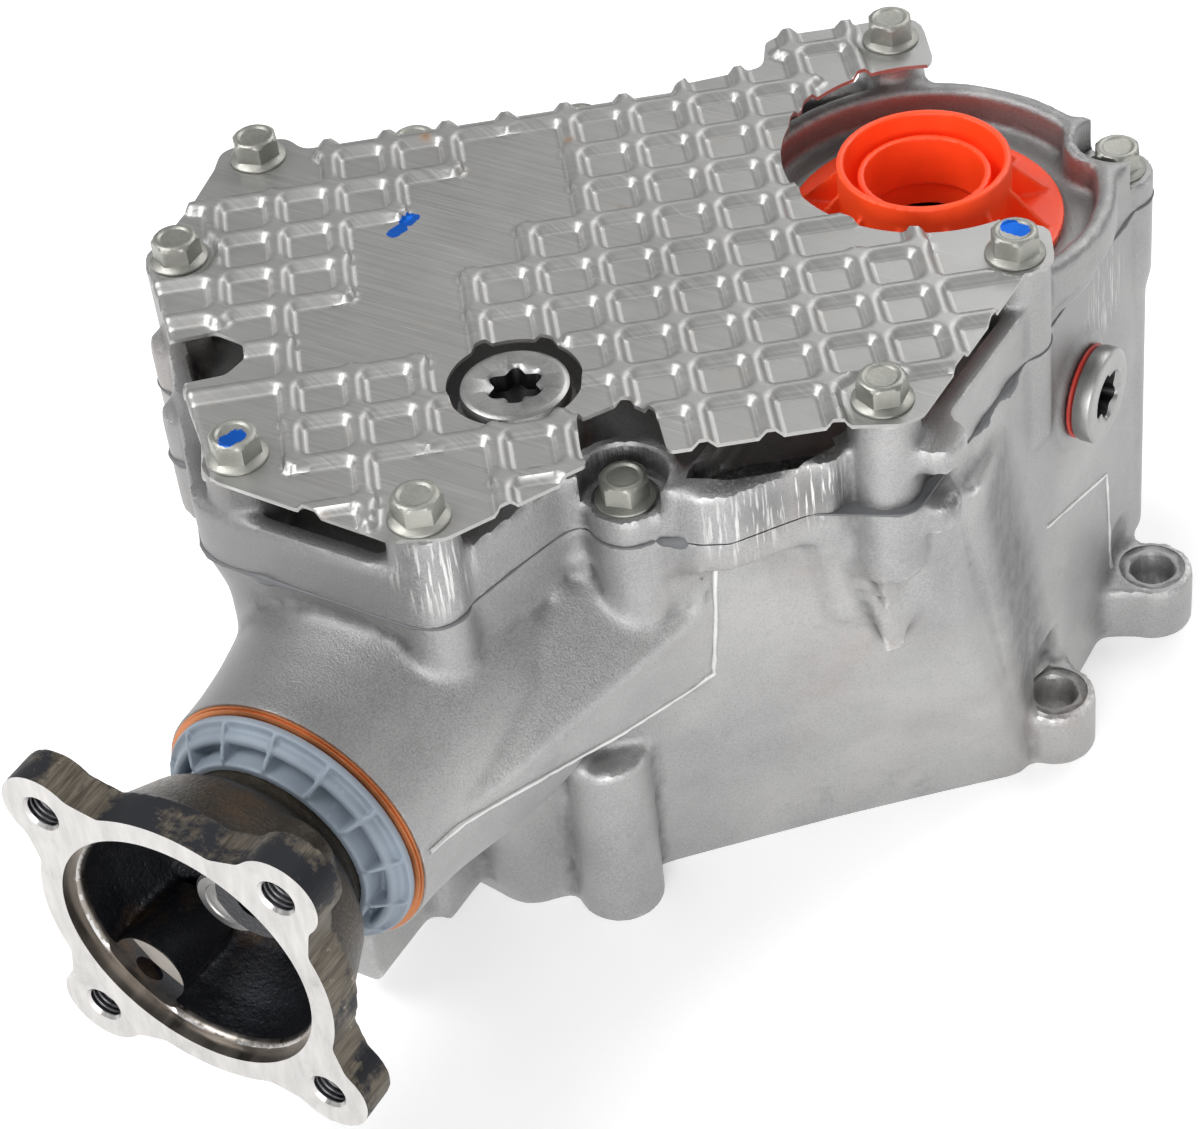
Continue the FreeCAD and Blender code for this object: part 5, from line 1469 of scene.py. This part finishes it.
flange = make_flange()
print("flange faces:", len(flange.data.polygons))

# %% [markdown]
# On the flange's hub sits a ribbed ring of blue-grey plastic that throws dirt off the seal. Its section is
# spun round, its fourteen ribs are thin hulls, and a fine remesh gives it the small radii of a moulding.

# %% Dust ring
ring_back = 0.2408
rib_count = 14
rib_half = 0.00062


def ring_lathe(work, rings, segments, place):
    """Spins a closed profile of (height, radius) that doesn't touch the axis."""
    loops = []
    for step in range(segments):
        angle = math.tau * step / segments
        loops.append([work.verts.new(place @ polar(r, angle, z)) for z, r in rings])
    for step in range(segments):
        here, after = loops[step], loops[(step + 1) % segments]
        for i in range(len(rings)):
            j = (i + 1) % len(rings)
            work.faces.new((here[i], after[i], after[j], here[j]))
    bmesh.ops.recalc_face_normals(work, faces=work.faces)


def make_dust_ring():
    work = bmesh.new()
    profile = [(ring_back + z / 1000, r / 1000) for z, r in (
        (0.0, 28.02), (0.0, 38.9), (0.3, 39.2), (2.0, 39.2), (2.4, 38.9), (2.5, 37.0), (2.8, 36.5),
        (4.6, 36.2), (5.7, 35.4), (6.0, 34.4), (5.6, 33.4), (4.2, 32.8), (2.7, 32.4), (2.5, 31.2),
        (3.0, 30.5), (9.4, 30.2), (10.0, 29.8), (10.0, 28.02))]
    ring_lathe(work, profile, 192, neck_place)
    for step in range(rib_count):
        turn = Matrix.Rotation(math.radians(360.0 / rib_count * step + 8.0), 4, "Z")
        web = bmesh.new()
        corners = ((29.4, 2.0), (38.6, 2.0), (38.6, 3.4), (37.4, 4.6), (31.6, 9.6), (29.4, 10.0))
        for side in (-rib_half, rib_half):
            for r, z in corners:
                web.verts.new((r / 1000, side, ring_back + z / 1000))
        bmesh.ops.convex_hull(web, input=web.verts)
        bmesh.ops.transform(web, matrix=neck_place @ turn, verts=web.verts)
        add_solid(work, web)
    item = cast_skin("ribbed_ring", work, "blue_grey_plastic", "output", ["dust_ring"],
                     voxel=0.00042, rounds=2, most_faces=110000)
    smooth_shade(item, 45.0)


make_dust_ring()
print("ribs on the dust ring:", rib_count)

# %% [markdown]
# A thin coppered ring lies at the end of the neck. The shaft's end shows in the flange's cup: the washer
# and the nut behind it, then a stepped nose with a groove and a centre drilling. Both are turned parts, so
# a section spun round is all they need.

# %% Coppered ring and the shaft's nose


def make_neck_ring():
    work = bmesh.new()
    profile = [(-neck_end + z / 1000, r / 1000) for z, r in (
        (0.0, 35.0), (0.0, 40.6), (0.15, 40.9), (0.65, 40.9), (0.8, 40.6), (0.8, 40.2), (0.95, 40.2),
        (1.1, 40.4), (1.5, 40.4), (1.6, 40.2), (1.6, 35.0))]
    ring_lathe(work, profile, 160, neck_place)
    item = make_piece("coppered_ring", work, "copper_coat", "housing", ["neck_ring"])
    smooth_shade(item, 30.0)


def make_nose():
    work = bmesh.new()
    lathe(work, ((0.2541, 0.0150), (0.2562, 0.0150), (0.2570, 0.0146), (0.2571, 0.0128), (0.2640, 0.0128),
                 (0.2652, 0.0120), (0.2660, 0.0118), (0.2668, 0.0116), (0.2669, 0.0106), (0.2674, 0.0102),
                 (0.2675, 0.0108), (0.2688, 0.0108), (0.2694, 0.0104), (0.2695, 0.0096), (0.2702, 0.0096),
                 (0.2703, 0.0104), (0.2718, 0.0104), (0.2726, 0.0096), (0.2727, 0.0072), (0.2723, 0.0068),
                 (0.2723, 0.0052), (0.2719, 0.0040), (0.2700, 0.0030), (0.2660, 0.0027), (0.2655, 0.0004)),
          96, neck_place)
    item = make_piece("shaft_nose", work, "gear_steel", "output", ["pinion_nut"])
    smooth_shade(item, 30.0)


make_neck_ring()
make_nose()
print("neck ring from", -neck_end, "m along the flange's axis")

# %% [markdown]
# The orange plug is moulded in one piece, so every edge has a small radius and every rib grows out of
# the wall. A fine remesh of its solid gives both.

# %% Shipping plug


def make_cap():
    item = cast_skin("moulded_plug", merged("shipping_plug"), "orange_plastic", "shipping_cap",
                     ["shipping_plug"], voxel=0.0006, rounds=2, most_faces=120000)
    smooth_shade(item, 45.0)
    return item


print("plug faces:", len(make_cap().data.polygons))

# %% [markdown]
